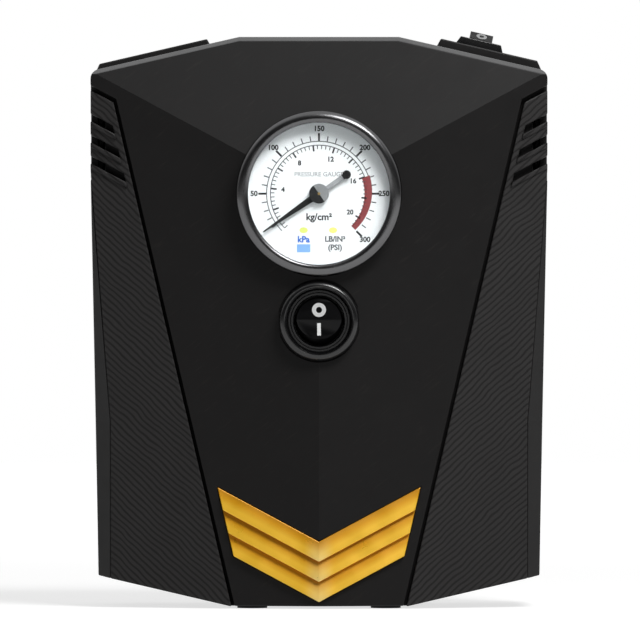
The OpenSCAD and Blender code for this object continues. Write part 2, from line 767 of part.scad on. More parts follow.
module pointer_arbor() {
    color(brass) on_gauge() {
        bar_y(arbor_r - 0.2, pointer_y + 0.1, dial_y - 0.2);
        bar_y(arbor_r, dial_y - 0.2, movement_y + 2 * plate_t + movement_gap);
        rotate([0, -arbor_phase, 0])
            prism(gear_teeth(arbor_teeth, movement_module, movement_lash, 0, arbor_teeth - 1),
                pinion_y, pinion_y + movement_face);
    }
}
movement_lash = 0.06;
// A tooth of the sector points at the arbor, so a gap of the pinion faces the sector
arbor_phase = 90 + 180 / arbor_teeth;

module sector_gear() {
    reach_teeth = ceil(scale_sweep / sector_ratio / 2 / sector_step) + 2;
    arm_half = 2;
    tail = 5;
    rim_r = sector_teeth * movement_module / 2 - 1.15 * movement_module - 2.5;
    spread = (reach_teeth + 0.5) * sector_step;
    tail_half = 0.9;
    color(brass) on_gauge() translate([0, 0, sector_pivot]) {
        rotate([0, sector_rest - 90, 0])
            prism(concat([rim_r * [cos(spread), -sin(spread)]],
                gear_teeth(sector_teeth, movement_module, movement_lash, -reach_teeth, reach_teeth),
                [rim_r * [cos(spread), sin(spread)], [0, arm_half], [-tail, tail_half],
                    [-tail, -tail_half], [0, -arm_half]]),
                pinion_y, pinion_y + movement_face);
        bar_y(arbor_r + 0.5, movement_y + plate_t + slack, movement_y + plate_t + movement_gap - slack);
        bar_y(arbor_r, movement_y, movement_y + 2 * plate_t + movement_gap);
    }
}
// At rest the sector leans over by whole teeth, so that a tooth stays in the pinion's gap
sector_step = 360 / sector_teeth;
sector_rest = floor(scale_sweep / sector_ratio / 2 / sector_step) * sector_step;

module movement_plates() {
    plate_w = 11;
    z_low = stem_z - 4.6;
    color(brass) on_gauge() difference() {
        union() {
            for (y = [movement_y, movement_y + plate_t + movement_gap])
                block([-plate_w / 2, y, z_low], [plate_w / 2, y + plate_t, 3]);
            for (x = [-1, 1]) translate([x * (plate_w / 2 - 1), 0, z_low + 1.1])
                bar_y(0.8, movement_y, movement_y + plate_t + movement_gap + touch);
            for (x = [-1, 1]) translate([x * (plate_w / 2 - 1), 0, 2])
                bar_y(0.8, movement_y, movement_y + plate_t + movement_gap + touch);
        }
        bar_y(arbor_r + running, movement_y - 1, movement_y + 10);
        translate([0, 0, sector_pivot]) bar_y(arbor_r + running, movement_y - 1, movement_y + 10);
    }
}

stem_r = 4;
stem_top_y = movement_y + 2 * plate_t + movement_gap;
elbow_y = 27;
bourdon_from = -64;
bourdon_sweep = 262;
bourdon_y = 12.8;
bourdon_depth = 6;
bourdon_t = 2;

module gauge_stem() {
    block_half = 5;
    color(brass) on_gauge() difference() {
        union() {
            block([-block_half, stem_top_y, stem_z - 4.4], [block_half, gauge_depth - gauge_wall, stem_z + 4]);
            translate([0, 0, stem_z]) bar_y(stem_r, gauge_depth - gauge_wall - touch, elbow_y + 3.5);
            translate([0, elbow_y, stem_z]) bar_x(1.7, 0, stem_r + 6);
            translate([0, elbow_y, stem_z]) bar_x(2.6, 0, stem_r + 1);
            translate([0, 0, stem_z]) bar_y(stem_r + 1.6, gauge_depth + touch, gauge_depth + 2);
        }
        translate([0, elbow_y, stem_z]) bar_x(0.8, -1, stem_r + 9);
        translate([0, 0, stem_z]) bar_y(0.8, bourdon_y + 2, elbow_y);
    }
}

module bourdon_tube() {
    color(brass) on_gauge() translate([0, bourdon_y + bourdon_depth, 0]) rotate([90, 0, 0])
        rotate([0, 0, bourdon_from]) rotate_extrude(angle = bourdon_sweep, $fn = 96) difference() {
            translate([bourdon_r - bourdon_t / 2, 0]) square([bourdon_t, bourdon_depth]);
            translate([bourdon_r - bourdon_t / 2 + 0.4, 0.4]) square([bourdon_t - 0.8, bourdon_depth - 0.8]);
        }
}

module bourdon_link() {
    end = bourdon_from + bourdon_sweep - 4;
    tip = bourdon_r * [cos(end), sin(end)];
    eye = [-1.2, sector_pivot - 4.6];
    side = left_of(tip, eye) * 0.9;
    color(steel) on_gauge() {
        prism([tip + side, tip - side, eye - side, eye + side], link_y, link_y + link_t);
        translate([tip.x, 0, tip.y]) bar_y(0.9, link_y, bourdon_y);
    }
}

// ---- Main switch ----

pivot_y = 1.6; // rocker's axis behind the keel
rocker_pin_r = 1.2;

module on_main_switch() { from_apex() translate([0, 0, main_switch_z]) children(); }

module main_switch_body() {
    seat_y = face_k * ring_d / 2;
    r = ring_d / 2;
    body_r = switch_body_d / 2;
    bore_r = ring_bore / 2;
    well_y = 10;
    brow_r = 1.6;
    brow_h = 2.2;
    collar_w = 1.1;
    groove_h = collar_proud - 1;
    color(black_abs) on_main_switch() difference() {
        union() {
            // Rounded ring, a groove inside it, and a low collar round the rocker
            rotate([90, 0, 0]) rotate_extrude() polygon(concat(
                [[bore_r, -seat_y], [r, -seat_y], [r, ring_proud - brow_h]],
                [for (i = [1:arc_steps]) let (a = 90 * i / arc_steps)
                    [r - brow_r + brow_r * cos(a), ring_proud - brow_h + brow_h * sin(a)]],
                [[bore_r + collar_w + 1.2, ring_proud - 0.5], [bore_r + collar_w + 0.5, groove_h],
                    [bore_r + collar_w, groove_h], [bore_r + collar_w - 0.3, collar_proud],
                    [bore_r + 0.3, collar_proud], [bore_r, collar_proud - 0.4]]));
            bar_y(body_r, seat_y - touch, switch_depth);
        }
        bar_y(bore_r, -ring_proud - 1, well_y);
        translate([0, pivot_y, 0]) bar_x(rocker_pin_r + running, -body_r - 0.2, body_r + 0.2);
    }
}

module main_switch_rocker() {
    ball_r = ring_bore / 2 - slack;
    valley_y = -1;
    back_y = 5;
    flare = ball_r * tan(rocker_vee);
    color(black_abs) on_main_switch() translate([0, pivot_y, 0]) rotate([-rocker_throw / 2, 0, 0]) {
        intersection() {
            rotate([0, 90, 0]) sphere(r = ball_r, $fn = 96);
            rotate([0, 0, 90]) rotate([90, 0, 0]) translate([0, 0, -ball_r - 1]) linear_extrude(2 * ball_r + 2)
                polygon([[valley_y - pivot_y, 0], [valley_y - pivot_y - flare, ball_r],
                    [0, ball_r + 1], [back_y - pivot_y, 4], [back_y - pivot_y, -4], [0, -ball_r - 1],
                    [valley_y - pivot_y - flare, -ball_r]]);
        }
        bar_x(rocker_pin_r, -switch_body_d / 2 + 0.1, switch_body_d / 2 - 0.1);
    }
}

blade_len = 7.5;
blade_pitch = 4.6;

module main_switch_terminals() {
    color(brass) on_main_switch() for (z = [-1, 0, 1] * blade_pitch)
        block([-2.4, switch_depth, z - 0.4], [2.4, switch_depth + blade_len, z + 0.4]);
}

// ---- Lamp switch ----

lamp_body_w = 12;
lamp_body_d = 19;
lamp_body_h = 10.5;
lamp_well_h = 6;
lamp_pivot_z = 0.4;
lamp_valley_z = 2.6;
lamp_pin_r = 1;
lamp_blade_len = 5;
lamp_blade_y = 3.5;

module lamp_switch_body() {
    foot = lamp_frame_w / 2;
    brow = foot - 1.1;
    well_w = lamp_rocker_w / 2 + slack;
    well_d = lamp_rocker_d / 2 + 2 * slack;
    color(black_abs) from_apex() on_shoulder(1, lamp_switch_x) difference() {
        union() {
            prism([[-foot, 0], [foot, 0], [brow, lamp_frame_h], [-brow, lamp_frame_h]],
                -lamp_frame_d / 2, lamp_frame_d / 2);
            block([-lamp_body_w / 2, -lamp_body_d / 2, -lamp_body_h],
                [lamp_body_w / 2, lamp_body_d / 2, touch]);
        }
        block([-well_w, -well_d, -lamp_well_h], [well_w, well_d, lamp_frame_h + 1]);
        translate([0, 0, lamp_pivot_z]) bar_x(lamp_pin_r + running, -well_w - 1.2, well_w + 1.2);
    }
}

module lamp_switch_rocker() {
    end_r = lamp_rocker_d / 2 + 0.1;
    rise = end_r * tan(lamp_vee);
    valley = lamp_valley_z - lamp_pivot_z;
    color(black_abs) from_apex() on_shoulder(1, lamp_switch_x)
        translate([0, 0, lamp_pivot_z]) rotate([lamp_throw / 2, 0, 0]) {
            intersection() {
                bar_x(end_r, -lamp_rocker_w / 2, lamp_rocker_w / 2);
                rotate([0, 0, 90]) prism([[0, valley], [-end_r, valley + rise], [-end_r, 0], [-3.4, -4.4],
                    [3.4, -4.4], [end_r, 0], [end_r, valley + rise]], -end_r, end_r);
            }
            bar_x(lamp_pin_r, -lamp_rocker_w / 2 - slack - 1, lamp_rocker_w / 2 + slack + 1);
        }
}

module lamp_switch_terminals() {
    color(brass) from_apex() on_shoulder(1, lamp_switch_x) for (y = [-1, 1] * lamp_blade_y)
        block([-1.6, y - 0.3, -lamp_body_h - lamp_blade_len], [1.6, y + 0.3, -lamp_body_h]);
}

// ---- Lamp ----

lamp_lens_t = 2;
reflector_h = 3.4;
board_t = 1;
led_h = 0.8;

module lamp_lens() {
    color(clear) from_apex() on_shoulder(-1, lamp_x)
        block([-lamp_w / 2, -lamp_d / 2, -lamp_lens_t], [lamp_w / 2, lamp_d / 2, 0]);
}

module lamp_reflector() {
    half_w = lamp_w / 2 - 1.6;
    half_d = lamp_d / 2 - 1.6;
    color(chrome) from_apex() on_shoulder(-1, lamp_x) difference() {
        block([-half_w, -half_d, -lamp_lens_t - reflector_h], [half_w, half_d, -lamp_lens_t]);
        for (x = led_x, y = led_y)
            translate([x, y, -lamp_lens_t - reflector_h - touch])
                cylinder(r1 = 1.9, r2 = 3, h = reflector_h + 2 * touch);
    }
}

led_x = [-lamp_w / 4 + 1, lamp_w / 4 - 1];
led_y = [-lamp_d / 3 + 1.6, 0, lamp_d / 3 - 1.6];

module lamp_board() {
    half_w = lamp_w / 2 - 1.6;
    half_d = lamp_d / 2 - 1.6;
    top = -lamp_lens_t - reflector_h;
    color([0.9, 0.9, 0.88]) from_apex() on_shoulder(-1, lamp_x)
        block([-half_w, -half_d, top - board_t], [half_w, half_d, top]);
}

module lamp_leds() {
    top = -lamp_lens_t - reflector_h;
    color([0.95, 0.9, 0.55]) from_apex() on_shoulder(-1, lamp_x) for (x = led_x, y = led_y)
        block([x - 1.3, y - 1.3, top], [x + 1.3, y + 1.3, top + led_h]);
}

// ---- Motor ----

module on_motor() { from_apex() translate([-motor_x, pump_depth, 0]) children(); }

can_t = 1.4;
boss_h = 2;
boss_r = 6;
cap_out = 1.2;
cap_in = 5;
bushing_r = 3;
bushing_h = 4;
rotor_r = motor_d / 2 - can_t - 3.6;
rotor_low = motor_z + 14;
rotor_h = 20;
slot_count = 5;

module motor_can() {
    color(steel) on_motor() difference() {
        union() {
            translate([0, 0, motor_z]) cylinder(d = motor_d, h = motor_len);
            translate([0, 0, motor_top - touch]) cylinder(r = boss_r, h = boss_h + touch);
        }
        translate([0, 0, motor_z - 1]) cylinder(r = motor_d / 2 - can_t, h = motor_len - can_t + 1);
        translate([0, 0, motor_top - can_t - 3]) cylinder(r = bushing_r + touch, h = can_t + 3 + boss_h - 0.5);
        translate([0, 0, motor_top]) cylinder(r = motor_shaft_d / 2 + slack, h = boss_h + 1);
    }
}

module motor_end_cap() {
    r = motor_d / 2 - can_t - touch;
    color(nylon) on_motor() difference() {
        union() {
            translate([0, 0, motor_z]) cylinder(r = r, h = cap_in);
            translate([0, 0, motor_z - cap_out]) cylinder(r = r - 1, h = cap_out + touch);
        }
        translate([0, 0, motor_z + 1]) cylinder(r = bushing_r + touch, h = cap_in);
        translate([0, 0, motor_z + cap_in - 1.6]) cylinder(r = r - 1.5, h = 3);
    }
}

module motor_bushings() {
    color(brass) on_motor() for (z = [motor_z + 1, motor_top + boss_h - 0.5 - bushing_h])
        translate([0, 0, z]) difference() {
            cylinder(r = bushing_r, h = bushing_h);
            translate([0, 0, -1]) cylinder(r = motor_shaft_d / 2 + running, h = bushing_h + 2);
        }
}

module motor_magnets() {
    r_out = motor_d / 2 - can_t - running;
    color([0.3, 0.3, 0.32]) on_motor() for (a = [0, 180]) rotate([0, 0, a])
        translate([0, 0, rotor_low - 2]) rotate([0, 0, -62]) rotate_extrude(angle = 124)
            translate([rotor_r + 0.5, 0]) square([r_out - rotor_r - 0.5, rotor_h + 4]);
}

module motor_armature() {
    color(steel) on_motor() translate([0, 0, rotor_low]) difference() {
        cylinder(r = rotor_r, h = rotor_h);
        translate([0, 0, -1]) cylinder(r = motor_shaft_d / 2, h = rotor_h + 2);
        for (i = [0:slot_count - 1]) rotate([0, 0, (i + 0.5) * 360 / slot_count]) {
            translate([rotor_r * 0.62, 0, -1]) cylinder(r = rotor_r * 0.24, h = rotor_h + 2);
            block([rotor_r * 0.62, -0.6, -1], [rotor_r + 1, 0.6, rotor_h + 1]);
        }
    }
}

module motor_windings() {
    color(copper) on_motor() translate([0, 0, rotor_low]) {
        for (i = [0:slot_count - 1]) rotate([0, 0, (i + 0.5) * 360 / slot_count])
            translate([rotor_r * 0.62, 0, 0]) cylinder(r = rotor_r * 0.24 - running, h = rotor_h);
        for (z = [-2.2, rotor_h]) translate([0, 0, z]) difference() {
            cylinder(r = rotor_r * 0.86, h = 2.2);
            translate([0, 0, -1]) cylinder(r = motor_shaft_d / 2 + 1.2, h = 5);
        }
    }
}

commutator_z = motor_z + cap_in + 1;
commutator_r = 3.6;
commutator_h = 5;

module motor_commutator() {
    color(copper) on_motor() translate([0, 0, commutator_z]) difference() {
        cylinder(r = commutator_r, h = commutator_h);
        translate([0, 0, -1]) cylinder(r = motor_shaft_d / 2, h = commutator_h + 2);
        for (i = [0:2]) rotate([0, 0, i * 120])
            block([commutator_r - 0.8, -0.3, -1], [commutator_r + 1, 0.3, commutator_h + 1]);
    }
}

module motor_brushes() {
    low = motor_z + cap_in;
    color([0.2, 0.2, 0.2]) on_motor() for (s = [-1, 1]) {
        x0 = commutator_r + 0.1;
        block([s > 0 ? x0 : -x0 - 5, -1.6, low + 1.2], [s > 0 ? x0 + 5 : -x0, 1.6, low + 5]);
        block([s > 0 ? x0 + 5 : -x0 - 6, -1.6, low - 1.6], [s > 0 ? x0 + 6 : -x0 - 5, 1.6, low + 5]);
    }
}

module motor_shaft() {
    color(steel) on_motor() translate([0, 0, motor_z + 1.2])
        cylinder(d = motor_shaft_d, h = gear_z + gear_t + 1.3 - motor_z - 1.2);
}

// ---- Reduction and crank ----

gear_lash = 0.2;
crank_shaft_d = 5;
crank_bearing_r = 4.5;
crank_bearing_t = 5;
crank_pin_d = 4;

module on_crank() { from_apex() translate([crank_x, pump_depth, 0]) children(); }

module motor_pinion() {
    color(brass) on_motor() translate([0, 0, gear_z]) difference() {
        linear_extrude(gear_t + 1)
            polygon(gear_teeth(pinion_teeth, gear_module, gear_lash, 0, pinion_teeth - 1));
        translate([0, 0, -1]) cylinder(d = motor_shaft_d, h = gear_t + 4);
    }
}

module crank_gear() {
    color(nylon) on_crank() difference() {
        union() {
            translate([0, 0, gear_z]) rotate([0, 0, 180 / crank_teeth]) linear_extrude(gear_t)
                polygon(gear_teeth(crank_teeth, gear_module, gear_lash, 0, crank_teeth - 1));
            translate([0, 0, gear_z - 0.8]) cylinder(r = 5, h = 1);
        }
        translate([0, 0, gear_z - 2]) cylinder(r = crank_shaft_d / 2 + touch, h = gear_t + 4);
        // Shallow web round the hub, on the upper side
        translate([0, 0, gear_z + gear_t - 1.6]) difference() {
            cylinder(r = 16, h = 3);
            translate([0, 0, -1]) cylinder(r = 11, h = 5);
        }
    }
}

module crank_counterweight() {
    color(cast_metal) on_crank() translate([0, 0, gear_z + gear_t]) difference() {
        union() {
            cylinder(r = 10.5, h = disc_t);
            intersection() {
                cylinder(r = 15.5, h = disc_t);
                block([-20, -12, 0], [0, 12, disc_t]);
            }
        }
        translate([0, 0, -1]) cylinder(r = crank_shaft_d / 2 + touch, h = disc_t + 2);
    }
}

module crank_shaft() {
    color(steel) on_crank() translate([0, 0, bracket_top - crank_bearing_t * 2 - 2.4])
        cylinder(d = crank_shaft_d, h = gear_z + gear_t + disc_t - bracket_top + crank_bearing_t * 2 + 2.4);
}

module crank_bearings() {
    color(steel) on_crank() for (z = [bracket_top - crank_bearing_t, bracket_top - 2 * crank_bearing_t - 2])
        translate([0, 0, z]) difference() {
            cylinder(r = crank_bearing_r, h = crank_bearing_t);
            translate([0, 0, -1]) cylinder(r = crank_shaft_d / 2 + running, h = crank_bearing_t + 2);
        }
}

pin_x = crank_x + stroke / 2;
pin_low = gear_z + gear_t + disc_t + slack;
piston_face = pin_x + rod_len;
crown_gap = 0.6;
cylinder_top = piston_face + crown_gap;
sleeve_low = crank_x + crank_teeth * gear_module / 2 + 2;
sleeve_r = cylinder_bore / 2 + 2.4;
seal_t = 2;
seal_bore = cylinder_bore - 5.8;

module on_pin() { from_apex() translate([pin_x, pump_depth, 0]) children(); }
module on_rod() { from_apex() translate([0, pump_depth, rod_z]) children(); }

module crank_pin() {
    color(steel) on_pin() translate([0, 0, pin_low])
        cylinder(d = crank_pin_d, h = rod_z + rod_t / 2 - pin_low + 0.8);
}

rod_bearing_r = 5.5;

module rod_bearing() {
    color(steel) on_pin() translate([0, 0, rod_z - rod_t / 2]) difference() {
        cylinder(r = rod_bearing_r, h = rod_t);
        translate([0, 0, -1]) cylinder(d = crank_pin_d, h = rod_t + 2);
    }
}

module connecting_rod() {
    disc_low = piston_face - 5;
    rod_half = 3.6;
    color(cast_metal) on_rod() difference() {
        union() {
            translate([pin_x, 0, -rod_t / 2]) cylinder(r = rod_bearing_r + 2.3, h = rod_t);
            block([pin_x, -rod_half, -rod_t / 2], [disc_low + 1, rod_half, rod_t / 2]);
            bar_x(cylinder_bore / 2 - 0.9, disc_low, piston_face - seal_t);
            bar_x(seal_bore / 2, piston_face - seal_t - touch, piston_face);
        }
        translate([pin_x, 0, -rod_t]) cylinder(r = rod_bearing_r + touch, h = 2 * rod_t);
    }
}

module piston_seal() {
    color(rubber) on_rod() difference() {
        bar_x(cylinder_bore / 2 - running, piston_face - seal_t, piston_face);
        bar_x(seal_bore / 2 + touch, piston_face - seal_t - 1, piston_face + 1);
    }
}

screw_square = head_w / 2 - 3;
fin_t = 1.4;
fin_pitch = (cylinder_top - 3 - sleeve_low - 5) / fin_count;

module pump_cylinder() {
    color(cast_metal) on_rod() difference() {
        union() {
            bar_x(sleeve_r, sleeve_low, cylinder_top);
            for (i = [0:fin_count - 1])
                bar_x(fin_d / 2, sleeve_low + 5 + i * fin_pitch, sleeve_low + 5 + i * fin_pitch + fin_t);
            head_square(cylinder_top - 3, cylinder_top);
        }
        bar_x(cylinder_bore / 2, sleeve_low - 1, cylinder_top + 1);
        head_holes(cylinder_top - 4, cylinder_top + 1);
    }
}

module head_square(x0, x1) {
    block([x0, -head_w / 2, -head_w / 2], [x1, head_w / 2, head_w / 2]);
}
module head_holes(x0, x1) {
    for (y = [-1, 1], z = [-1, 1]) translate([0, y * screw_square, z * screw_square]) bar_x(1.6, x0, x1);
}

valve_t = 1.2;
head_t = 12;
head_low = cylinder_top + valve_t;
valve_hole_r = 1.8;

module valve_plate() {
    color(steel) on_rod() difference() {
        head_square(cylinder_top, head_low);
        head_holes(cylinder_top - 1, head_low + 1);
        translate([0, 4, 0]) bar_x(valve_hole_r, cylinder_top - 1, head_low + 1);
        translate([0, -4, 4]) bar_x(valve_hole_r, cylinder_top - 1, head_low + 1);
    }
}

module outlet_reed() {
    color([0.55, 0.58, 0.62]) on_rod() block([head_low, 1.2, -5.5], [head_low + 0.3, 6.8, 5]);
}

barb_z = [-6.5, 7.5]; // heights of the outlet barb and the gauge barb on the head
barb_r = [2.4, 1.7];
barb_len = 5;
barb_x = [head_low + head_t - 4.1, head_low + 3.4];

module cylinder_head() {
    fin_gap = 2.4;
    color(cast_metal) on_rod() difference() {
        union() {
            head_square(head_low, head_low + head_t);
            for (i = [0, 1]) translate([barb_x[i], 0, barb_z[i]]) {
                bar_y(barb_r[i], -head_w / 2 - barb_len, 0);
                bar_y(barb_r[i] + 1.6, -head_w / 2 - 2, 0);
            }
        }
        bar_x(9.5, head_low - 1, head_low + 6);
        head_holes(head_low - 1, head_low + head_t + 1);
        for (y = [-1, 1], z = [-1, 1])
            translate([0, y * screw_square, z * screw_square])
                bar_x(2.7, head_low + head_t - 3, head_low + head_t + 1);
        for (i = [-2:2]) translate([0, 0, i * 2 * fin_gap])
            block([head_low + head_t - 3, -head_w, -fin_gap / 2],
                [head_low + head_t + 1, head_w, fin_gap / 2]);
        for (i = [0, 1]) translate([barb_x[i], 0, barb_z[i]])
            bar_y(barb_r[i] - 0.9, -head_w / 2 - barb_len - 1, -2);
    }
}

module head_screws() {
    head_floor = head_low + head_t - 3;
    color(steel) on_rod() for (y = [-1, 1], z = [-1, 1]) translate([0, y * screw_square, z * screw_square]) {
        bar_x(1.5, cylinder_top - 3, head_floor + touch);
        bar_x(2.6, head_floor, head_floor + 2.2);
    }
}

// ---- Bracket ----

flange_t = 2;
mount_t = 3;
mount_r = 7;
mount_post = 1.1; // height of the posts behind the rubber mounts
flange_y = case_d - wall_t - mount_post - mount_t - flange_t;
flange_low = motor_top - 19;
shelf_z = motor_z - cap_out - mount_t;
shelf_half = 13;
bracket_post_x = [6, 36]; // right of the crank's axis
bracket_post_rise = 6; // above the flange's lower edge
bracket_posts = [for (x = bracket_post_x) [crank_x + x, flange_low + bracket_post_rise]];

module pump_bracket() {
    half_d = 16.5;
    right = sleeve_low + 3;
    boss_low = bracket_top - 2 * crank_bearing_t - 3;
    bolt_r = 1.7;
    color(cast_metal) from_apex() difference() {
        union() {
            block([-motor_x - 14, pump_depth - half_d, motor_top], [right, pump_depth + half_d, bracket_top]);
            translate([crank_x, pump_depth, boss_low])
                cylinder(r = crank_bearing_r + 1.6, h = bracket_top - boss_low);
            // Cheek round the cylinder's sleeve
            block([sleeve_low, pump_depth - half_d, motor_top], [right, pump_depth + half_d, rod_z + half_d]);
            // Back flange on the rubber mounts
            block([crank_x, flange_y, flange_low], [crank_x + 42, flange_y + flange_t, bracket_top]);
            block([crank_x, pump_depth + half_d - 2, motor_top], [right, flange_y + flange_t, bracket_top]);
        }
        translate([-motor_x, pump_depth, motor_top - 1]) cylinder(r = boss_r + 0.1, h = bracket_t + 2);
        translate([crank_x, pump_depth, boss_low + 1])
            cylinder(r = crank_bearing_r + touch, h = bracket_top - boss_low);
        translate([crank_x, pump_depth, boss_low - 1]) cylinder(r = crank_shaft_d / 2 + 0.7, h = 3);
        translate([0, pump_depth, rod_z]) bar_x(sleeve_r + 2 * touch, sleeve_low - 1, right + 1);
        for (p = bracket_posts) translate([p.x, 0, p.y]) bar_y(bolt_r, flange_y - 1, flange_y + flange_t + 1);
    }
}

module rubber_mounts() {
    color(rubber) from_apex() {
        for (p = bracket_posts)
            translate([p.x, 0, p.y]) bar_y(4.6, flange_y + flange_t, flange_y + flange_t + mount_t);
        translate([-motor_x, pump_depth, shelf_z]) cylinder(r = mount_r, h = mount_t);
    }
}

// ---- Hoses and wires ----

// A smooth path through points, which passes each with the slope of its neighbours
function path_point(a, b, c, d, t) = 0.5 * (2 * b + (c - a) * t + (2 * a - 5 * b + 4 * c - d) * t * t
    + (3 * b - a - 3 * c + d) * t * t * t);
function smooth_path(p, steps) = let (n = len(p) - 1) [for (i = [0:n - 1], k = [0:steps - 1])
    path_point(p[max(i - 1, 0)], p[i], p[i + 1], p[min(i + 2, n)], k / steps), p[n]];
function tangent(p, i) = unit(p[min(i + 1, len(p) - 1)] - p[max(i - 1, 0)]);
function square_to(v, t) = unit(v - t * (v * t));
function carried(p, i) = (i == 0) ? square_to([0.31, 0.17, 0.93], tangent(p, 0))
    : square_to(carried(p, i - 1), tangent(p, i));
function ring(p, i, r, sides) = let (t = tangent(p, i), u = carried(p, i), v = cross(t, u))
    [for (k = [0:sides - 1]) p[i] + r * (u * cos(360 * k / sides) + v * sin(360 * k / sides))];

// Faces of a skin over rings of points
function skin(first, rings, sides) = [for (i = [0:rings - 2], k = [0:sides - 1]) let (
    a = first + i * sides + k, b = first + i * sides + (k + 1) % sides)
    each [[a, a + sides, b], [b, a + sides, b + sides]]];
function cap(first, sides) = [for (k = [1:sides - 2]) [first, first + k, first + k + 1]];

module cable(points, r, sides = 8, steps = 4) {
    p = smooth_path(points, steps);
    n = len(p);
    polyhedron([for (i = [0:n - 1]) each ring(p, i, r, sides)],
        concat(skin(0, n, sides), cap(0, sides), [for (f = cap((n - 1) * sides, sides)) [f[2], f[1], f[0]]]));
}

// A hose with its bore open at both ends
module hose(points, r, bore, sides = 10, steps = 5) {
    p = smooth_path(points, steps);
    n = len(p);
    inner = n * sides;
    last = (n - 1) * sides;
    polyhedron(concat([for (i = [0:n - 1]) each ring(p, i, r, sides)],
            [for (i = [0:n - 1]) each ring(p, i, bore, sides)]),
        concat(skin(0, n, sides), [for (f = skin(inner, n, sides)) [f[2], f[1], f[0]]],
            [for (k = [0:sides - 1]) let (j = (k + 1) % sides)
                each [[k, j, inner + k], [j, inner + j, inner + k]]],
            [for (k = [0:sides - 1]) let (j = (k + 1) % sides)
                each [[last + k, inner + last + k, last + j], [last + j, inner + last + k, inner + last + j]]]));
}

hose_start = pump_depth - head_w / 2 - 2; // depth at which the hoses grip the head's barbs
inner_barb = 6;
fitting_r = nipple_d / 2 + 1;

module outlet_hose() {
    x = barb_x[0];
    z = rod_z + barb_z[0];
    y0 = bay_depth - wall_t - 2;
    color(rubber) from_apex() hose([[x, hose_start, z], [x, hose_start - 2.5, z], [x, hose_start - 6, z],
        [x + 1.8, hose_start - 8.4, z + 3], [x + 3.8, hose_start - 8, z + 12],
        [x + 3.8, hose_start - 8, z + 24], [outlet_x + 12, y0 - 15, outlet_z - 14],
        [outlet_x + 3, y0 - 14.5, outlet_z - 3], [outlet_x, y0 - 10, outlet_z],
        [outlet_x, y0 - 4, outlet_z], [outlet_x, y0, outlet_z]], hose_d / 2, barb_r[0] + 0.25);
}

module gauge_hose() {
    x = barb_x[1];
    z = rod_z + barb_z[1];
    x0 = stem_r + 1;
    end_z = apex_z + stem_z;
    color(rubber) from_apex() hose([[x, hose_start, z], [x, hose_start - 2.5, z], [x, hose_start - 6.5, z],
        [x - 2.5, hose_start - 9, z + 3], [x - 9, elbow_y - 5, end_z - 8],
        [x0 + 15, elbow_y - 1.5, end_z - 1.5], [x0 + 9, elbow_y, end_z],
        [x0 + 4, elbow_y, end_z], [x0, elbow_y, end_z]],
        gauge_hose_d / 2, barb_r[1] + 0.2);
}

module outlet_nipple() {
    r = nipple_d / 2;
    inner = bay_depth - wall_t;
    color(brass) from_apex() translate([outlet_x, 0, outlet_z]) difference() {
        union() {
            bar_y(fitting_r - touch, inner - 2, bay_depth + touch);
            translate([0, bay_depth + 3, 0]) rotate([90, 0, 0]) cylinder(r = r + 3, h = 3, $fn = 6);
            bar_y(r + 3, inner - 2, inner);
            bar_y(barb_r[0], inner - 2 - inner_barb, inner - 2 + touch);
            bar_y(r, bay_depth + 3 - touch, bay_depth + nipple_len);
        }
        bar_y(1.4, inner - 20, bay_depth + nipple_len + 1);
    }
}

module lead_gland() {
    inner = bay_depth - wall_t;
    wall = 2.2;
    color(rubber) from_apex() translate([-outlet_x, 0, outlet_z]) difference() {
        union() {
            bar_y(fitting_r - touch, inner - 2, bay_depth + touch);
            bar_y(gland_bore / 2 + wall, bay_depth, bay_depth + 8);
            bar_y(gland_bore / 2 + wall + 1, bay_depth, bay_depth + 2);
            bar_y(gland_bore / 2 + wall, inner - 2, inner);
        }
        bar_y(gland_bore / 2, inner - 3, bay_depth + 9);
    }
}

wire_r = 0.9;
wire_y = pump_depth - gear_module * (crank_teeth / 2 + 1) - wire_r - 1; // in front of the crank gear

module power_wires() {
    gland = [-outlet_x, bay_depth - wall_t - 2.4, outlet_z];
    blade = [0, switch_depth + blade_len, main_switch_z];
    down_y = wire_y - 2.1;
    cap_y = pump_depth - 12;
    hole = [-motor_x + 5, cap_y, motor_z - cap_out];       // one of the two holes in the motor's end cap
    other = [-motor_x - 5, cap_y, hole.z];
    from_apex() {
        // Live lead to the upper blade
        color("darkred") cable([gland + [1.5, 0, 0], gland + [1.5, -5, 0], gland + [3, -9, -8],
            gland + [7, -8.2, -20], blade + [-12, -3.4, 9], blade + [-4, 0.4, 7],
            blade + [0, wire_r, blade_pitch]], wire_r);
        // Switched lead down to the motor
        color("darkred") cable([blade + [0, wire_r, -blade_pitch], blade + [-4, 0.5, -7],
            blade + [-14, -1.6, -10], [-24, down_y, motor_top - 1], [-motor_x + 8, down_y, 34],
            [-motor_x + 6, cap_y - 10, 16], hole + [0, -4, -4.5], hole + [0, 0, -3], hole + [0, 0, -1.5],
            hole], wire_r);
        // Return lead to the motor
        color(rubber) cable([gland + [-1.5, 0, 0], gland + [-1.5, -5, 0], gland + [-4, -11, -8],
            gland + [-7, -11.2, -28], [-motor_x - 4, down_y, motor_top - 1], [-motor_x - 5, down_y, 34],
            [-motor_x - 6, cap_y - 10, 16], other + [0, -4, -4.5], other + [0, 0, -3],
            other + [0, 0, -1.5], other], wire_r);
    }
}

// A place on the lamp switch or the lamp, in the case's depth
function shoulder_point(side, x, local) = [side * x, pad_centre, shoulder_line(x)]
    + [local.x * cos(shoulder_angle) + side * (local.z + pad_h(side)) * sin(shoulder_angle), local.y,
        (local.z + pad_h(side)) * cos(shoulder_angle) - side * local.x * sin(shoulder_angle)];

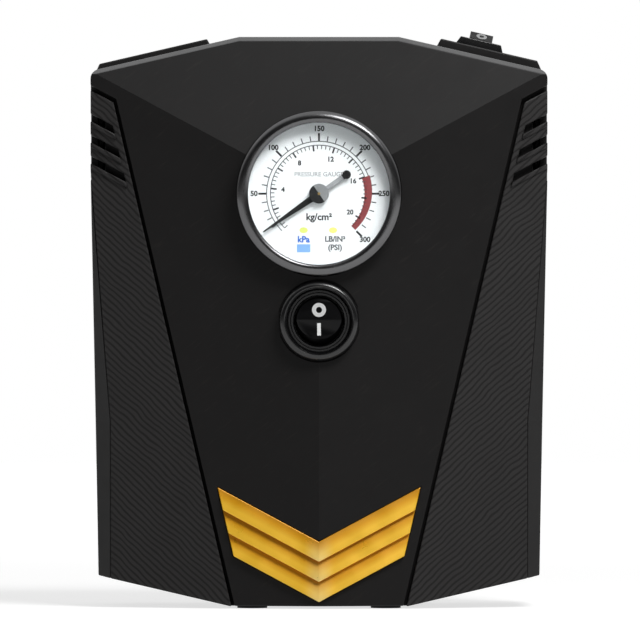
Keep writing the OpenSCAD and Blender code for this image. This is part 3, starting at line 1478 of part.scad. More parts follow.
module lamp_wires() {
    blade = [0, switch_depth + blade_len, main_switch_z];
    blade_end = -lamp_body_h - lamp_blade_len;
    feed = shoulder_point(1, lamp_switch_x, [0, -lamp_blade_y, blade_end]);
    out = shoulder_point(1, lamp_switch_x, [0, lamp_blade_y, blade_end]);
    board = shoulder_point(-1, lamp_x, [lamp_w / 2 - 4, 0, -lamp_lens_t - reflector_h - board_t]);
    over_bay = bay_z + bay_h + wall_t + 2.4;
    function over(p) = [p.x, p.y, max(p.z, over_bay - 0.8)];
    bay_front = bay_depth - wall_t;
    from_apex() {
        // Up to the lamp switch
        color("orange") cable([blade + [0, wire_r, 0], blade + [-4, 0.8, 1], blade + [-9, 0.6, 5],
            [-15, bay_front - 12.5, main_switch_z + 20], [-14, bay_front - 5.6, over_bay - 29],
            [-8, bay_front - 5, over_bay - 11], [4, bay_front - 4.6, over_bay + 2],
            [22, bay_front - 3.6, over_bay + 1.5],
            over(feed + [-8, -3, 0.4]), over(feed + [-3.4, 0, -0.8]), feed + [0, 0, -wire_r - 0.3]], wire_r);
        // Across to the lamp
        color("orange") cable([out + [0, 0, -wire_r - 0.3], over(out + [-3.4, 1, -0.8]),
            [30, pad_centre + 8, over_bay + 1], [12, pad_centre + 9, over_bay + 2],
            [-12, pad_centre + 9, over_bay + 2], [-28, pad_centre + 5, over_bay + 2],
            board + [7, 1, -5], board + [1.5, 0, -3], board + [0.3, 0, -wire_r]], wire_r);
    }
}

// ---- Feet and housing screws ----

foot_depths = [14, 60];

module feet() {
    color(rubber) from_apex() for (x = [-1, 1], y = foot_depths)
        translate([x * foot_x, y, 0]) cylinder(d = foot_d, h = foot_h);
}

module housing_screws() {
    color(steel) from_apex() for (p = post_places) translate([p.x, 0, p.y]) {
        bar_y(screw_d / 2, screw_seat - screw_len, screw_seat + touch);
        bar_y(screw_d - 0.1, screw_seat, screw_seat + 2);
    }
}

front_cover();
rear_cover();
side_panel_left();
side_panel_right();
chevron_trim();
gauge_bezel();
gauge_lens();
gauge_case();
gauge_dial();
gauge_pointer();
pointer_arbor();
sector_gear();
movement_plates();
bourdon_tube();
bourdon_link();
gauge_stem();
main_switch_body();
main_switch_rocker();
main_switch_terminals();
lamp_switch_body();
lamp_switch_rocker();
lamp_switch_terminals();
lamp_lens();
lamp_reflector();
lamp_board();
lamp_leds();
motor_can();
motor_end_cap();
motor_magnets();
motor_armature();
motor_windings();
motor_commutator();
motor_brushes();
motor_bushings();
motor_shaft();
motor_pinion();
pump_bracket();
crank_gear();
crank_shaft();
crank_bearings();
crank_counterweight();
crank_pin();
rod_bearing();
connecting_rod();
piston_seal();
pump_cylinder();
valve_plate();
outlet_reed();
cylinder_head();
head_screws();
outlet_hose();
gauge_hose();
outlet_nipple();
lead_gland();
power_wires();
lamp_wires();
rubber_mounts();
feet();
housing_screws();
storage_bay();
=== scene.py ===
"""Finishes and details of a portable tire inflator, built round its CAD frame.

The scene is in metres; the pieces' own sizes are in millimetres. +Z is up and the
dial faces -Y. Every finished piece keeps its place in its mesh, so that patterns in
Object coordinates stay put when a body moves.
"""

from __future__ import annotations

import json
import logging
import math
from dataclasses import dataclass, field
from enum import Enum
from typing import Iterable, Sequence

import bmesh
import bpy
from mathutils import Matrix, Vector
from mathutils.bvhtree import BVHTree


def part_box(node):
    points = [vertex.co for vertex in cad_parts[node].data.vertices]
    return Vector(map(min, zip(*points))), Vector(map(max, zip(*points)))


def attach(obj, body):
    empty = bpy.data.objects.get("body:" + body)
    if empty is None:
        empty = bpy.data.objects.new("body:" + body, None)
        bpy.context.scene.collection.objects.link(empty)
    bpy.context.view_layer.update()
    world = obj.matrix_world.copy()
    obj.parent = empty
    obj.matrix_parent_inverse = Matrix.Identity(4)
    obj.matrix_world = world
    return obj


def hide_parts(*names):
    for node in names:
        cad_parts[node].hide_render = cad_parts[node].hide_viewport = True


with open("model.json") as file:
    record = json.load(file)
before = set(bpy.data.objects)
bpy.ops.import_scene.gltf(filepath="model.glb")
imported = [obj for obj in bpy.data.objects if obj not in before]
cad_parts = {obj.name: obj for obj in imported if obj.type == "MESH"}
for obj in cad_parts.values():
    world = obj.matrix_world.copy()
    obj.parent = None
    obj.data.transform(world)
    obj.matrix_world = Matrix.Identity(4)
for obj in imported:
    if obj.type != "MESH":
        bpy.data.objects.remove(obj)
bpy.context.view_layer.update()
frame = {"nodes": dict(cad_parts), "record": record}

logging.basicConfig(level=logging.INFO, format="%(message)s")
LOG = logging.getLogger("inflator")

Tree = bpy.types.NodeTree
Socket = bpy.types.NodeSocket
Point = tuple[float, float, float]
Outline = Sequence[tuple[float, float]]

MM = 0.001  # a millimetre in metres
FRAME_PIXELS = 640
FACE_FORWARD = Matrix.Rotation(math.radians(90), 4, "X")  # takes +Z, out of a print, to -Y
PRINT_MM = 0.03  # stand of ink above what it is printed on
CAPITAL_SHARE = 0.7  # height of a capital in the built-in font, whose size is 1
RING_STEPS = 32
ARC_STEP_DEGREES = 3
MERGE_M = 2e-6  # corners of a CAD node that are closer than this are one
WELD_M = 1e-7
FLAT_DEGREES = 0.6  # CAD faces that differ by less are joined
SMOOTH_DEGREES = 30.0  # edges sharper than this stay sharp
FACET_DEGREES = 15.0  # the same for a faceted piece
FACET_AREA = 40e-6  # square metres; larger faces of a faceted piece are shaded flat
BEVEL_SEGMENTS = 2
SHORTEST_ROUNDED_MM = 1.2
LEAST_ROUNDED_DEGREES = 25.0
METAL_FROM = 0.5  # finishes with more metallic than this keep the shader's own IOR
CLOUD_RANGE = (0.3, 0.7)  # the part of a noise's range in which most of it lies
DULL_SCALE = 1.7  # patches of roughness are this much finer than those of colour
LEAST_ROUGHNESS = 0.02
SRGB_KNEE = 0.04045
SRGB_SLOPE = 12.92
SRGB_OFFSET = 0.055
SRGB_POWER = 2.4


class Body(str, Enum):
    """The bodies of the frame that show."""

    HOUSING = "housing"
    POINTER = "pointer"
    MAIN_ROCKER = "main_rocker"
    LAMP_ROCKER = "lamp_rocker"


# ---- Nodes and colours ----


def linear(hex_colour: str) -> tuple[float, float, float, float]:
    """Turns an sRGB hex colour into linear light.

    Args:
        hex_colour: six hex digits with a leading #.

    Returns:
        Red, green, blue and an alpha of 1.
    """
    parts = [int(hex_colour[i : i + 2], 16) / 255 for i in (1, 3, 5)]
    red, green, blue = (
        c / SRGB_SLOPE if c <= SRGB_KNEE else ((c + SRGB_OFFSET) / (1 + SRGB_OFFSET)) ** SRGB_POWER
        for c in parts
    )
    return red, green, blue, 1.0


def add(
    tree: Tree,
    kind: str,
    sockets: dict | None = None,
    stops: Sequence[tuple] = (),
    **settings: object,
) -> bpy.types.Node:
    """Adds one node to a tree, with its settings, values and links.

    Args:
        tree: a material's, a world's or a Geometry Nodes tree.
        kind: the node's type name.
        sockets: values or source sockets for its inputs, by name or number.
        stops: a colour ramp's pairs of place and linear colour.
        **settings: properties of the node.

    Returns:
        The node.
    """
    node = tree.nodes.new(kind)
    for name, value in settings.items():
        setattr(node, name, value)
    for name, value in (sockets or {}).items():
        if isinstance(value, bpy.types.NodeSocket):
            tree.links.new(value, node.inputs[name])
        else:
            node.inputs[name].default_value = value
    if stops:
        elements = node.color_ramp.elements
        while len(elements) < len(stops):
            elements.new(0.5)
        for element, (place, colour) in zip(elements, stops):
            element.position = place
            element.color = colour
    return node


def object_place(tree: Tree, turn: Point = (0, 0, 0)) -> Socket:
    """Adds Object coordinates to a material.

    Args:
        tree: the material's tree.
        turn: angles in degrees about X, Y and Z.

    Returns:
        The place on the piece, in millimetres.
    """
    place = add(tree, "ShaderNodeTexCoord").outputs["Object"]
    angles = [math.radians(angle) for angle in turn]
    mapping = add(
        tree, "ShaderNodeMapping", {"Vector": place, "Rotation": angles, "Scale": (1 / MM,) * 3}
    )
    return mapping.outputs["Vector"]


@dataclass(frozen=True)
class Finish:
    """A finish: a shader with a grain in its height, its colour and its roughness."""

    name: str
    colour: str
    roughness: float = 0.5
    metallic: float = 0.0
    specular: float = 0.5
    grain_mm: float = 0.4
    grain_height_mm: float = 0.02
    grain_strength: float = 0.6
    mottle: float = 0.12
    mottle_mm: float = 12.0
    roughness_spread: float = 0.08
    coat: float = 0.0
    coat_roughness: float = 0.08
    ior: float = 1.5

    def material(self) -> bpy.types.Material:
        """Makes this finish's material, once.

        Returns:
            The material, which all pieces in this finish share.
        """
        found = bpy.data.materials.get(self.name)
        if found is not None:
            return found
        made = bpy.data.materials.new(self.name)
        made.use_nodes = True
        tree = made.node_tree
        tree.nodes.clear()
        surface = self.surface(tree, object_place(tree))
        add(tree, "ShaderNodeOutputMaterial", {"Surface": surface})
        return made

    def surface(self, tree: Tree, place: Socket) -> Socket:
        """Adds the shader; what is the same all over is set on its own sockets.

        Args:
            tree: the material's tree.
            place: the place on the piece, in millimetres.

        Returns:
            The shader's output.
        """
        shader = add(
            tree,
            "ShaderNodeBsdfPrincipled",
            {
                "Base Color": self.colouring(tree, place),
                "Roughness": self.dullness(tree, place),
                "Normal": self.relief(tree, place),
                "Metallic": self.metallic,
                "Coat Weight": self.coat,
                "Coat Roughness": self.coat_roughness,
            },
        )
        if self.metallic < METAL_FROM:
            shader.inputs["IOR"].default_value = self.ior
            shader.inputs["Specular IOR Level"].default_value = self.specular
        return shader.outputs["BSDF"]

    def colouring(self, tree: Tree, place: Socket) -> Socket:
        """Adds the base colour, slightly uneven as dye and handling leave it.

        Args:
            tree: the material's tree.
            place: the place on the piece, in millimetres.

        Returns:
            The colour.
        """
        cloud = add(
            tree, "ShaderNodeTexNoise", {"Vector": place, "Scale": 1 / self.mottle_mm, "Detail": 3.0}
        )
        red, green, blue, alpha = linear(self.colour)
        stops = [
            (spot, (red * k, green * k, blue * k, alpha))
            for spot, k in zip(CLOUD_RANGE, (1 - self.mottle, 1 + self.mottle))
        ]
        return add(tree, "ShaderNodeValToRGB", {"Fac": cloud.outputs["Fac"]}, stops).outputs["Color"]

    def dullness(self, tree: Tree, place: Socket) -> Socket:
        """Adds a roughness that varies with handling.

        Args:
            tree: the material's tree.
            place: the place on the piece, in millimetres.

        Returns:
            The roughness.
        """
        scale = DULL_SCALE / self.mottle_mm
        cloud = add(tree, "ShaderNodeTexNoise", {"Vector": place, "Scale": scale, "Detail": 4.0})
        spread = add(
            tree,
            "ShaderNodeMapRange",
            {
                "Value": cloud.outputs["Fac"],
                "From Min": CLOUD_RANGE[0],
                "From Max": CLOUD_RANGE[1],
                "To Min": max(self.roughness - self.roughness_spread, LEAST_ROUGHNESS),
                "To Max": min(self.roughness + self.roughness_spread, 1.0),
            },
        )
        return spread.outputs["Result"]

    def relief(self, tree: Tree, place: Socket) -> Socket:
        """Adds the grain of the mould or the tool.

        Args:
            tree: the material's tree.
            place: the place on the piece, in millimetres.

        Returns:
            The surface's normal.
        """
        grain = add(
            tree, "ShaderNodeTexNoise", {"Vector": place, "Scale": 1 / self.grain_mm, "Detail": 2.0}
        )
        bump = add(
            tree,
            "ShaderNodeBump",
            {
                "Strength": self.grain_strength,
                "Distance": self.grain_height_mm * MM,
                "Height": grain.outputs["Fac"],
            },
        )
        return bump.outputs["Normal"]


@dataclass(frozen=True)
class Metal(Finish):
    """Bare or plated metal, whose colour is that of its reflections."""

    metallic: float = 1.0


@dataclass(frozen=True)
class Ink(Finish):
    """Printing ink: dull, thin and nearly flat."""

    roughness: float = 0.6
    grain_mm: float = 0.2
    grain_height_mm: float = 0.002


@dataclass(frozen=True)
class HatchedPlastic(Finish):
    """Moulded ABS whose mould was cut with fine diagonal lines, mirrored left to right."""

    pitch_mm: float = 1.5
    line_height_mm: float = 0.12
    line_strength: float = 0.5
    slope: float = 42.0
    wander_mm: float = 2.4
    wander_scale: float = 0.09
    groove: tuple[float, float] = (-0.2, 0.9)
    # painted shade at the bottom of each groove
    groove_shade_colour: str = "#1c1b1b"

    def lines(self, tree: Tree, place: Socket) -> Socket:
        """Adds the hatch.

        Args:
            tree: the material's tree.
            place: the place on the piece, in millimetres.

        Returns:
            A wave from 0 to 1 across the lines.
        """
        parts = add(tree, "ShaderNodeSeparateXYZ", {"Vector": place}).outputs
        wander = add(
            tree, "ShaderNodeTexNoise", {"Vector": place, "Scale": self.wander_scale, "Detail": 2.0}
        ).outputs["Fac"]
        across = add(tree, "ShaderNodeMath", {0: parts["X"]}, operation="ABSOLUTE").outputs[0]
        slope = math.radians(self.slope)
        x_part = add(
            tree, "ShaderNodeMath", {0: across, 1: -math.sin(slope)}, operation="MULTIPLY"
        ).outputs[0]
        straight = add(
            tree,
            "ShaderNodeMath",
            {0: parts["Z"], 1: math.cos(slope), 2: x_part},
            operation="MULTIPLY_ADD",
        ).outputs[0]
        bent = add(
            tree,
            "ShaderNodeMath",
            {0: wander, 1: self.wander_mm, 2: straight},
            operation="MULTIPLY_ADD",
        ).outputs[0]
        turns = add(
            tree, "ShaderNodeMath", {0: bent, 1: math.tau / self.pitch_mm}, operation="MULTIPLY"
        ).outputs[0]
        wave = add(tree, "ShaderNodeMath", {0: turns}, operation="SINE").outputs[0]
        low, high = self.groove
        spread = add(
            tree,
            "ShaderNodeMapRange",
            {"Value": wave, "From Min": low, "From Max": high},
            interpolation_type="SMOOTHSTEP",
        )
        return spread.outputs["Result"]

    def colouring(self, tree: Tree, place: Socket) -> Socket:
        """Adds the panel's grey, with painted shade that darkens the bottom of each line's groove.

        Args:
            tree: the material's tree.
            place: the place on the piece, in millimetres.

        Returns:
            The colour.
        """
        plain = super().colouring(tree, place)
        sockets = {
            "Factor": self.lines(tree, place),
            "A": plain,
            "B": linear(self.groove_shade_colour),
        }
        return add(tree, "ShaderNodeMix", sockets, data_type="RGBA").outputs["Result"]

    def relief(self, tree: Tree, place: Socket) -> Socket:
        """Adds the mould's grain, with the lines cut into it.

        Args:
            tree: the material's tree.
            place: the place on the piece, in millimetres.

        Returns:
            The surface's normal.
        """
        bump = add(
            tree,
            "ShaderNodeBump",
            {
                "Strength": self.line_strength,
                "Distance": self.line_height_mm * MM,
                "Height": self.lines(tree, place),
                "Normal": super().relief(tree, place),
            },
            invert=True,
        )
        return bump.outputs["Normal"]


@dataclass(frozen=True)
class ScuffedPlastic(Finish):
    """Spark-grained ABS with faint slanting rubs from handling."""

    scuff_colour: str = "#252321"
    scuff_lean: float = 38.0
    scuff_scale: Point = (0.16, 0.3, 1.3)
    scuff_range: tuple[float, float] = (0.6, 0.78)
    scuff_share: float = 0.5

    def colouring(self, tree: Tree, place: Socket) -> Socket:
        """Adds the body's black with short, faint rubs across it.

        Args:
            tree: the material's tree.
            place: the place on the piece, in millimetres.

        Returns:
            The colour.
        """
        plain = super().colouring(tree, place)
        turned = object_place(tree, (0, self.scuff_lean, 0))
        stretched = add(tree, "ShaderNodeMapping", {"Vector": turned, "Scale": self.scuff_scale})
        streak = add(
            tree,
            "ShaderNodeTexNoise",
            {"Vector": stretched.outputs["Vector"], "Scale": 1.0, "Detail": 2.0},
        )
        low, high = self.scuff_range
        shown = add(
            tree,
            "ShaderNodeMapRange",
            {
                "Value": streak.outputs["Fac"],
                "From Min": low,
                "From Max": high,
                "To Max": self.scuff_share,
            },
        )
        sockets = {
            "Factor": shown.outputs["Result"],
            "A": plain,
            "B": linear(self.scuff_colour),
        }
        return add(tree, "ShaderNodeMix", sockets, data_type="RGBA").outputs["Result"]


@dataclass(frozen=True)
class BandedGold(Finish):
    """Metallic gold lacquer on ABS; each band is deep gold at its upper edge, painted shade under the
    step above, pale at its lower edge, painted light, and palest at its point, a painted highlight.

    The finish's own colour is that of a band's middle.
    """

    # deep is painted shade, pale is painted light and point is a painted highlight
    deep: str = "#c98800"
    middle_at: float = 0.3
    pale: str = "#ffc834"
    pale_at: float = 0.65
    point: str = "#ffe9a0"
    highlight_mm: float = 5.0
    highlight_share: float = 0.6
    top_mm: float = 20.1
    slope: float = 28.1
    pitch_mm: float = 6.0

    def colouring(self, tree: Tree, place: Socket) -> Socket:
        """Adds painted shade as deep gold at a band's upper edge, painted light as pale gold at its lower
        edge and a painted highlight at its point.

        Args:
            tree: the material's tree.
            place: the place on the piece, in millimetres.

        Returns:
            The colour.
        """
        parts = add(tree, "ShaderNodeSeparateXYZ", {"Vector": place}).outputs
        across = add(tree, "ShaderNodeMath", {0: parts["X"]}, operation="ABSOLUTE").outputs[0]
        rise = add(
            tree,
            "ShaderNodeMath",
            {0: across, 1: math.tan(math.radians(self.slope)), 2: self.top_mm},
            operation="MULTIPLY_ADD",
        ).outputs[0]
        depth = add(
            tree, "ShaderNodeMath", {0: rise, 1: parts["Z"]}, operation="SUBTRACT"
        ).outputs[0]
        turns = add(
            tree, "ShaderNodeMath", {0: depth, 1: self.pitch_mm}, operation="DIVIDE"
        ).outputs[0]
        along = add(tree, "ShaderNodeMath", {0: turns}, operation="FRACT").outputs[0]
        stops = [
            (0.0, linear(self.deep)),
            (self.middle_at, linear(self.colour)),
            (self.pale_at, linear(self.pale)),
            (1.0, linear(self.pale)),
        ]
        bands = add(tree, "ShaderNodeValToRGB", {"Fac": along}, stops).outputs["Color"]
        near = add(
            tree,
            "ShaderNodeMapRange",
            {
                "Value": across,
                "From Max": self.highlight_mm,
                "To Min": self.highlight_share,
                "To Max": 0.0,
            },
            interpolation_type="SMOOTHSTEP",
        ).outputs["Result"]
        lit = add(tree, "ShaderNodeMath", {0: near, 1: along}, operation="MULTIPLY").outputs[0]
        sockets = {"Factor": lit, "A": bands, "B": linear(self.point)}
        return add(tree, "ShaderNodeMix", sockets, data_type="RGBA").outputs["Result"]


@dataclass(frozen=True)
class TailReflectionPointer(Finish):
    """Black enamel, with a painted reflection in grey along the tail."""

    tail_reflection_colour: str = "#848586"
    centre_z: float = 124.0
    rest_degrees: float = 214.5
    tail_end: float = -8.6

    def colouring(self, tree: Tree, place: Socket) -> Socket:
        """Adds black, but for a painted reflection in grey on the tail between the hub's middle and its
        end.

        Args:
            tree: the material's tree.
            place: the place on the piece, in millimetres.

        Returns:
            The colour.
        """
        a = math.radians(self.rest_degrees)
        along = add(
            tree,
            "ShaderNodeVectorMath",
            {0: place, 1: (math.cos(a), 0.0, math.sin(a))},
            operation="DOT_PRODUCT",
        ).outputs["Value"]
        middle = self.centre_z * math.sin(a)
        before = add(
            tree, "ShaderNodeMath", {0: along, 1: middle}, operation="LESS_THAN"
        ).outputs[0]
        after = add(
            tree, "ShaderNodeMath", {0: along, 1: middle + self.tail_end}, operation="GREATER_THAN"
        ).outputs[0]
        shown = add(tree, "ShaderNodeMath", {0: before, 1: after}, operation="MULTIPLY").outputs[0]
        sockets = {
            "Factor": shown,
            "A": super().colouring(tree, place),
            "B": linear(self.tail_reflection_colour),
        }
        return add(tree, "ShaderNodeMix", sockets, data_type="RGBA").outputs["Result"]


@dataclass(frozen=True)
class ClearPlastic(Finish):
    """Clear acrylic, which lets the studio's lamps through to what lies behind it."""

    def surface(self, tree: Tree, place: Socket) -> Socket:
        """Adds the glass-like shader, which shadow rays pass.

        Args:
            tree: the material's tree.
            place: the place on the piece, in millimetres.

        Returns:
            The shader's output.
        """
        shader = add(
            tree,
            "ShaderNodeBsdfPrincipled",
            {
                "Base Color": linear(self.colour),
                "Roughness": self.dullness(tree, place),
                "Transmission Weight": 1.0,
                "IOR": self.ior,
            },
        )
        see_through = add(tree, "ShaderNodeBsdfTransparent")
        rays = add(tree, "ShaderNodeLightPath")
        mix = add(
            tree,
            "ShaderNodeMixShader",
            {
                0: rays.outputs["Is Shadow Ray"],
                1: shader.outputs["BSDF"],
                2: see_through.outputs["BSDF"],
            },
        )
        return mix.outputs["Shader"]


# Black ABS, moulded in a spark-eroded tool: a fine even grain and a soft sheen
CASE_BLACK = ScuffedPlastic(
    "black_abs_satin",
    "#151414",
    0.46,
    specular=0.17,
    grain_mm=0.35,
    mottle=0.05,
    roughness_spread=0.03,
)
# The same ABS on the sloping rim of the front cover: its gloss mirrors what is overhead, and its
# paler colour is a painted highlight, so the rim stands out paler than the faces
RIM_PAINTED_HIGHLIGHT = Finish(
    "black_abs_rim",
    "#39393a",
    0.3,
    specular=0.7,
    grain_mm=0.6,
    grain_height_mm=0.003,
    mottle=0.05,
)
# The same ABS in the rear cover, which hands rub less: the even grain with no rubs on it
REAR_BLACK = Finish(
    "black_abs_rear",
    "#1d1c1c",
    0.46,
    specular=0.25,
    grain_mm=0.35,
    mottle=0.05,
    roughness_spread=0.03,
)
# Charcoal ABS with cut diagonal lines: a little lighter than the case, and finely striped by the
# grooves' relief and by painted shade in them
PANEL_GREY = HatchedPlastic("charcoal_abs_hatched", "#302f2f", 0.5, specular=0.17, mottle=0.06)
# Polished black ABS of switch parts: sharp reflections over deep black
GLOSS_BLACK = Finish(
    "black_abs_polished",
    "#0c0c0d",
    0.24,
    specular=0.6,
    grain_mm=1.5,
    grain_height_mm=0.002,
    roughness_spread=0.04,
)
# The rockers' ABS, rubbed duller by fingers: nearly black, with no clear reflection
ROCKER_BLACK = Finish(
    "black_abs_rocker",
    "#050506",
    0.42,
    specular=0.08,
    grain_mm=0.8,
    grain_height_mm=0.004,
    roughness_spread=0.06,
)
# Gold lacquer over ABS: a warm colour with a soft metallic glint under a thin clear coat; the shade
# and light across each band and the highlight at its point are painted into the colour
GOLD = BandedGold(
    "gold_lacquer",
    "#e7a30a",
    0.34,
    metallic=0.25,
    specular=0.5,
    grain_mm=0.25,
    grain_height_mm=0.006,
    coat=0.15,
)
# Dark chrome plate: a mirror that keeps only a small share of the light
DARK_CHROME = Metal(
    "dark_chrome_plate",
    "#626263",
    0.24,
    grain_mm=2.0,
    grain_height_mm=0.001,
    roughness_spread=0.04,
    mottle=0.05,
)
# Aluminium metallised onto the lamp's reflector: a bright, nearly perfect mirror
REFLECTOR_CHROME = Metal(
    "reflector_metallising",
    "#c9c9cc",
    0.12,
    grain_mm=2.0,
    grain_height_mm=0.001,
    roughness_spread=0.03,
    mottle=0.04,
)
# Moulded acrylic, polished in its tool: clear, with faint reflections
CLEAR = ClearPlastic("clear_acrylic", "#f8fbfc", 0.03, ior=1.49, roughness_spread=0.01)
# White baked enamel of the dial: even and matt, so that the print reads from any side
DIAL_WHITE = Finish(
    "white_enamel", "#f4f5f5", 0.45, grain_mm=0.8, grain_height_mm=0.003, mottle=0.015
)
# Stove enamel of the pointer: smooth, with a slight gloss; the grey along its tail is a painted
# reflection
POINTER_BLACK = TailReflectionPointer(
    "black_and_grey_enamel", "#0d0d0e", 0.35, grain_mm=0.6, grain_height_mm=0.003
)
# Screen printing inks of the dial: flat matt colour with crisp edges
INK_BLACK = Ink("screen_ink_black", "#1b1c1e")
INK_GREY = Ink("screen_ink_grey", "#55585a")
INK_PALE = Ink("screen_ink_pale_grey", "#a3a5a6")
INK_RED = Ink("screen_ink_red", "#8e3a3c")
INK_BLUE = Ink("screen_ink_blue", "#2f6fd0")
INK_PALE_BLUE = Ink("screen_ink_pale_blue", "#86b4f2")
INK_LIME = Ink("screen_ink_lime", "#e6ee7a")
# Pad printing inks of the switches: a little glossier, and worn grey where fingers press more
INK_WHITE = Ink("pad_print_white", "#dcdddd", 0.5, mottle=0.02)
WORN_WHITE = Ink("pad_print_grey", "#9c9d9d", 0.5, mottle=0.05)
# Brass turned on a lathe: a warm yellow shine with fine tool marks
BRASS = Metal("turned_brass", "#c9a45c", 0.3, grain_mm=0.5, grain_height_mm=0.004)
# Steel with bright zinc plate: a cool grey, somewhat blurred mirror
STEEL = Metal("zinc_plated_steel", "#b9bbbe", 0.36, grain_mm=0.6, grain_height_mm=0.004)
# Die-cast aluminium as it leaves its mould: pale, dull and slightly pitted
CAST = Metal("die_cast_aluminium", "#a9abad", 0.5, grain_mm=0.7, grain_height_mm=0.02)
# Undyed moulded nylon: a creamy white with a waxy sheen
NYLON = Finish("natural_nylon", "#e9e4d6", 0.5, grain_mm=0.6, ior=1.53)
# Moulded black rubber: dark and dull, with hardly any reflection
RUBBER = Finish(
    "moulded_rubber", "#1a1a1a", 0.75, specular=0.3, grain_mm=0.5, grain_height_mm=0.03
)
# Copper wire under clear enamel: a reddish metal shine
COPPER = Metal("enamelled_copper", "#b5653a", 0.35, grain_mm=0.5, grain_height_mm=0.01)
# Pressed and sintered ferrite: a dark grey, chalky ceramic
FERRITE = Finish("sintered_ferrite", "#35353a", 0.8, grain_mm=0.3, grain_height_mm=0.03)
# White solder mask of the lamp's board: smooth, bright and half glossy
SOLDER_MASK = Finish("white_solder_mask", "#e9eae8", 0.4, grain_mm=0.6, grain_height_mm=0.004)
# Phosphor in silicone over the LEDs' chips: a dull pale yellow
PHOSPHOR = Finish("led_phosphor", "#efe07a", 0.5, grain_mm=0.3, grain_height_mm=0.01)
# Extruded PVC insulation: a smooth, deep red with a soft shine
WIRE_RED = Finish("pvc_insulation_red", "#8c1a1a", 0.4, grain_mm=0.8, grain_height_mm=0.004)

SLOT_FINISHES = {
    "black_abs": REAR_BLACK,
    "textured_abs": PANEL_GREY,
    "gold_abs": GOLD,
    "gloss_black": GLOSS_BLACK,
    "black_chrome": DARK_CHROME,
    "clear_plastic": CLEAR,
    "dial_white": DIAL_WHITE,
    "pointer_black": POINTER_BLACK,
    "brass": BRASS,
    "steel": STEEL,
    "cast_aluminium": CAST,
    "nylon": NYLON,
    "rubber": RUBBER,
    "copper": COPPER,
    "ferrite": FERRITE,
    "board": SOLDER_MASK,
    "led": PHOSPHOR,
    "wire": WIRE_RED,
}
NODE_FINISHES = {"lamp_reflector": REFLECTOR_CHROME}  # nodes that differ from their slot


# ---- Meshes ----


def new_object(name: str, mesh: bpy.types.Mesh, finish: Finish) -> bpy.types.Object:
    """Links a mesh to the scene under one material.

    Args:
        name: name of the new object.
        mesh: its mesh.
        finish: its finish.

    Returns:
        The new object.
    """
    mesh.materials.clear()
    mesh.materials.append(finish.material())
    made = bpy.data.objects.new(name, mesh)
    bpy.context.scene.collection.objects.link(made)
    return made


def settle(made: bpy.types.Object, body: Body, replaced: Iterable[str] = ()) -> None:
    """Gives a finished piece its body and the nodes it stands for.

    Args:
        made: the piece.
        body: the body it rides on.
        replaced: names of the CAD nodes that it replaces.
    """
    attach(made, body.value)
    if replaced:
        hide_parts(*replaced)
    LOG.info("piece %s on %s: %d faces", made.name, body.value, len(made.data.polygons))


def smooth_by_angle(mesh: bpy.types.Mesh, degrees: float = SMOOTH_DEGREES) -> None:
    """Shades a mesh smooth, but for its sharp edges.

    Args:
        mesh: the mesh.
        degrees: edges sharper than this stay sharp.
    """
    for polygon in mesh.polygons:
        polygon.use_smooth = True
    mesh.set_sharp_from_angle(angle=math.radians(degrees))


def merged_copy(node: str) -> bmesh.types.BMesh:
    """A CAD node's mesh with its corners merged and its flat faces joined.

    Args:
        node: name of the CAD node.

    Returns:
        A bmesh that the caller frees.
    """
    bm = bmesh.new()
    bm.from_mesh(frame["nodes"][node].data)
    bmesh.ops.remove_doubles(bm, verts=bm.verts, dist=MERGE_M)
    bmesh.ops.dissolve_limit(
        bm, angle_limit=math.radians(FLAT_DEGREES), verts=bm.verts, edges=bm.edges
    )
    bmesh.ops.recalc_face_normals(bm, faces=bm.faces)
    return bm


def sharp_and_long(edge: bmesh.types.BMEdge) -> float:
    """Tells whether an edge is rounded.

    Args:
        edge: an edge of a merged copy.

    Returns:
        1 for an edge that is sharp, convex and long enough, and otherwise 0.
    """
    if len(edge.link_faces) != 2 or edge.calc_length() < SHORTEST_ROUNDED_MM * MM:
        return 0.0
    angle = edge.calc_face_angle_signed(0.0)
    return 1.0 if angle > math.radians(LEAST_ROUNDED_DEGREES) else 0.0


def rounded_copy(
    node: str,
    name: str,
    finish: Finish,
    width_mm: float,
    body: Body = Body.HOUSING,
    faceted: bool = False,
) -> bpy.types.Object:
    """Puts a copy with rounded edges in the place of a CAD node.

    Args:
        node: name of the CAD node.
        name: name of the new piece.
        finish: its finish.
        width_mm: width of the rounding.
        body: the body it rides on.
        faceted: keeps the flat tone of each large facet, however slight the angle between two.

    Returns:
        The new object, with its bevel still live.
    """
    bm = merged_copy(node)
    weights = bm.edges.layers.float.new("bevel_weight_edge")
    for edge in bm.edges:
        edge[weights] = sharp_and_long(edge)
    mesh = bpy.data.meshes.new(name)
    bm.to_mesh(mesh)
    bm.free()
    smooth_by_angle(mesh, FACET_DEGREES if faceted else SMOOTH_DEGREES)
    for polygon in mesh.polygons:
        polygon.use_smooth = not (faceted and polygon.area > FACET_AREA)
    made = new_object(name, mesh, finish)
    bevel = made.modifiers.new("rounding", "BEVEL")
    bevel.limit_method = "WEIGHT"
    bevel.width = width_mm * MM
    bevel.segments = BEVEL_SEGMENTS
    bevel.use_clamp_overlap = False
    bevel.harden_normals = not faceted
    bevel.miter_outer = "MITER_ARC"
    settle(made, body, [node])
    return made


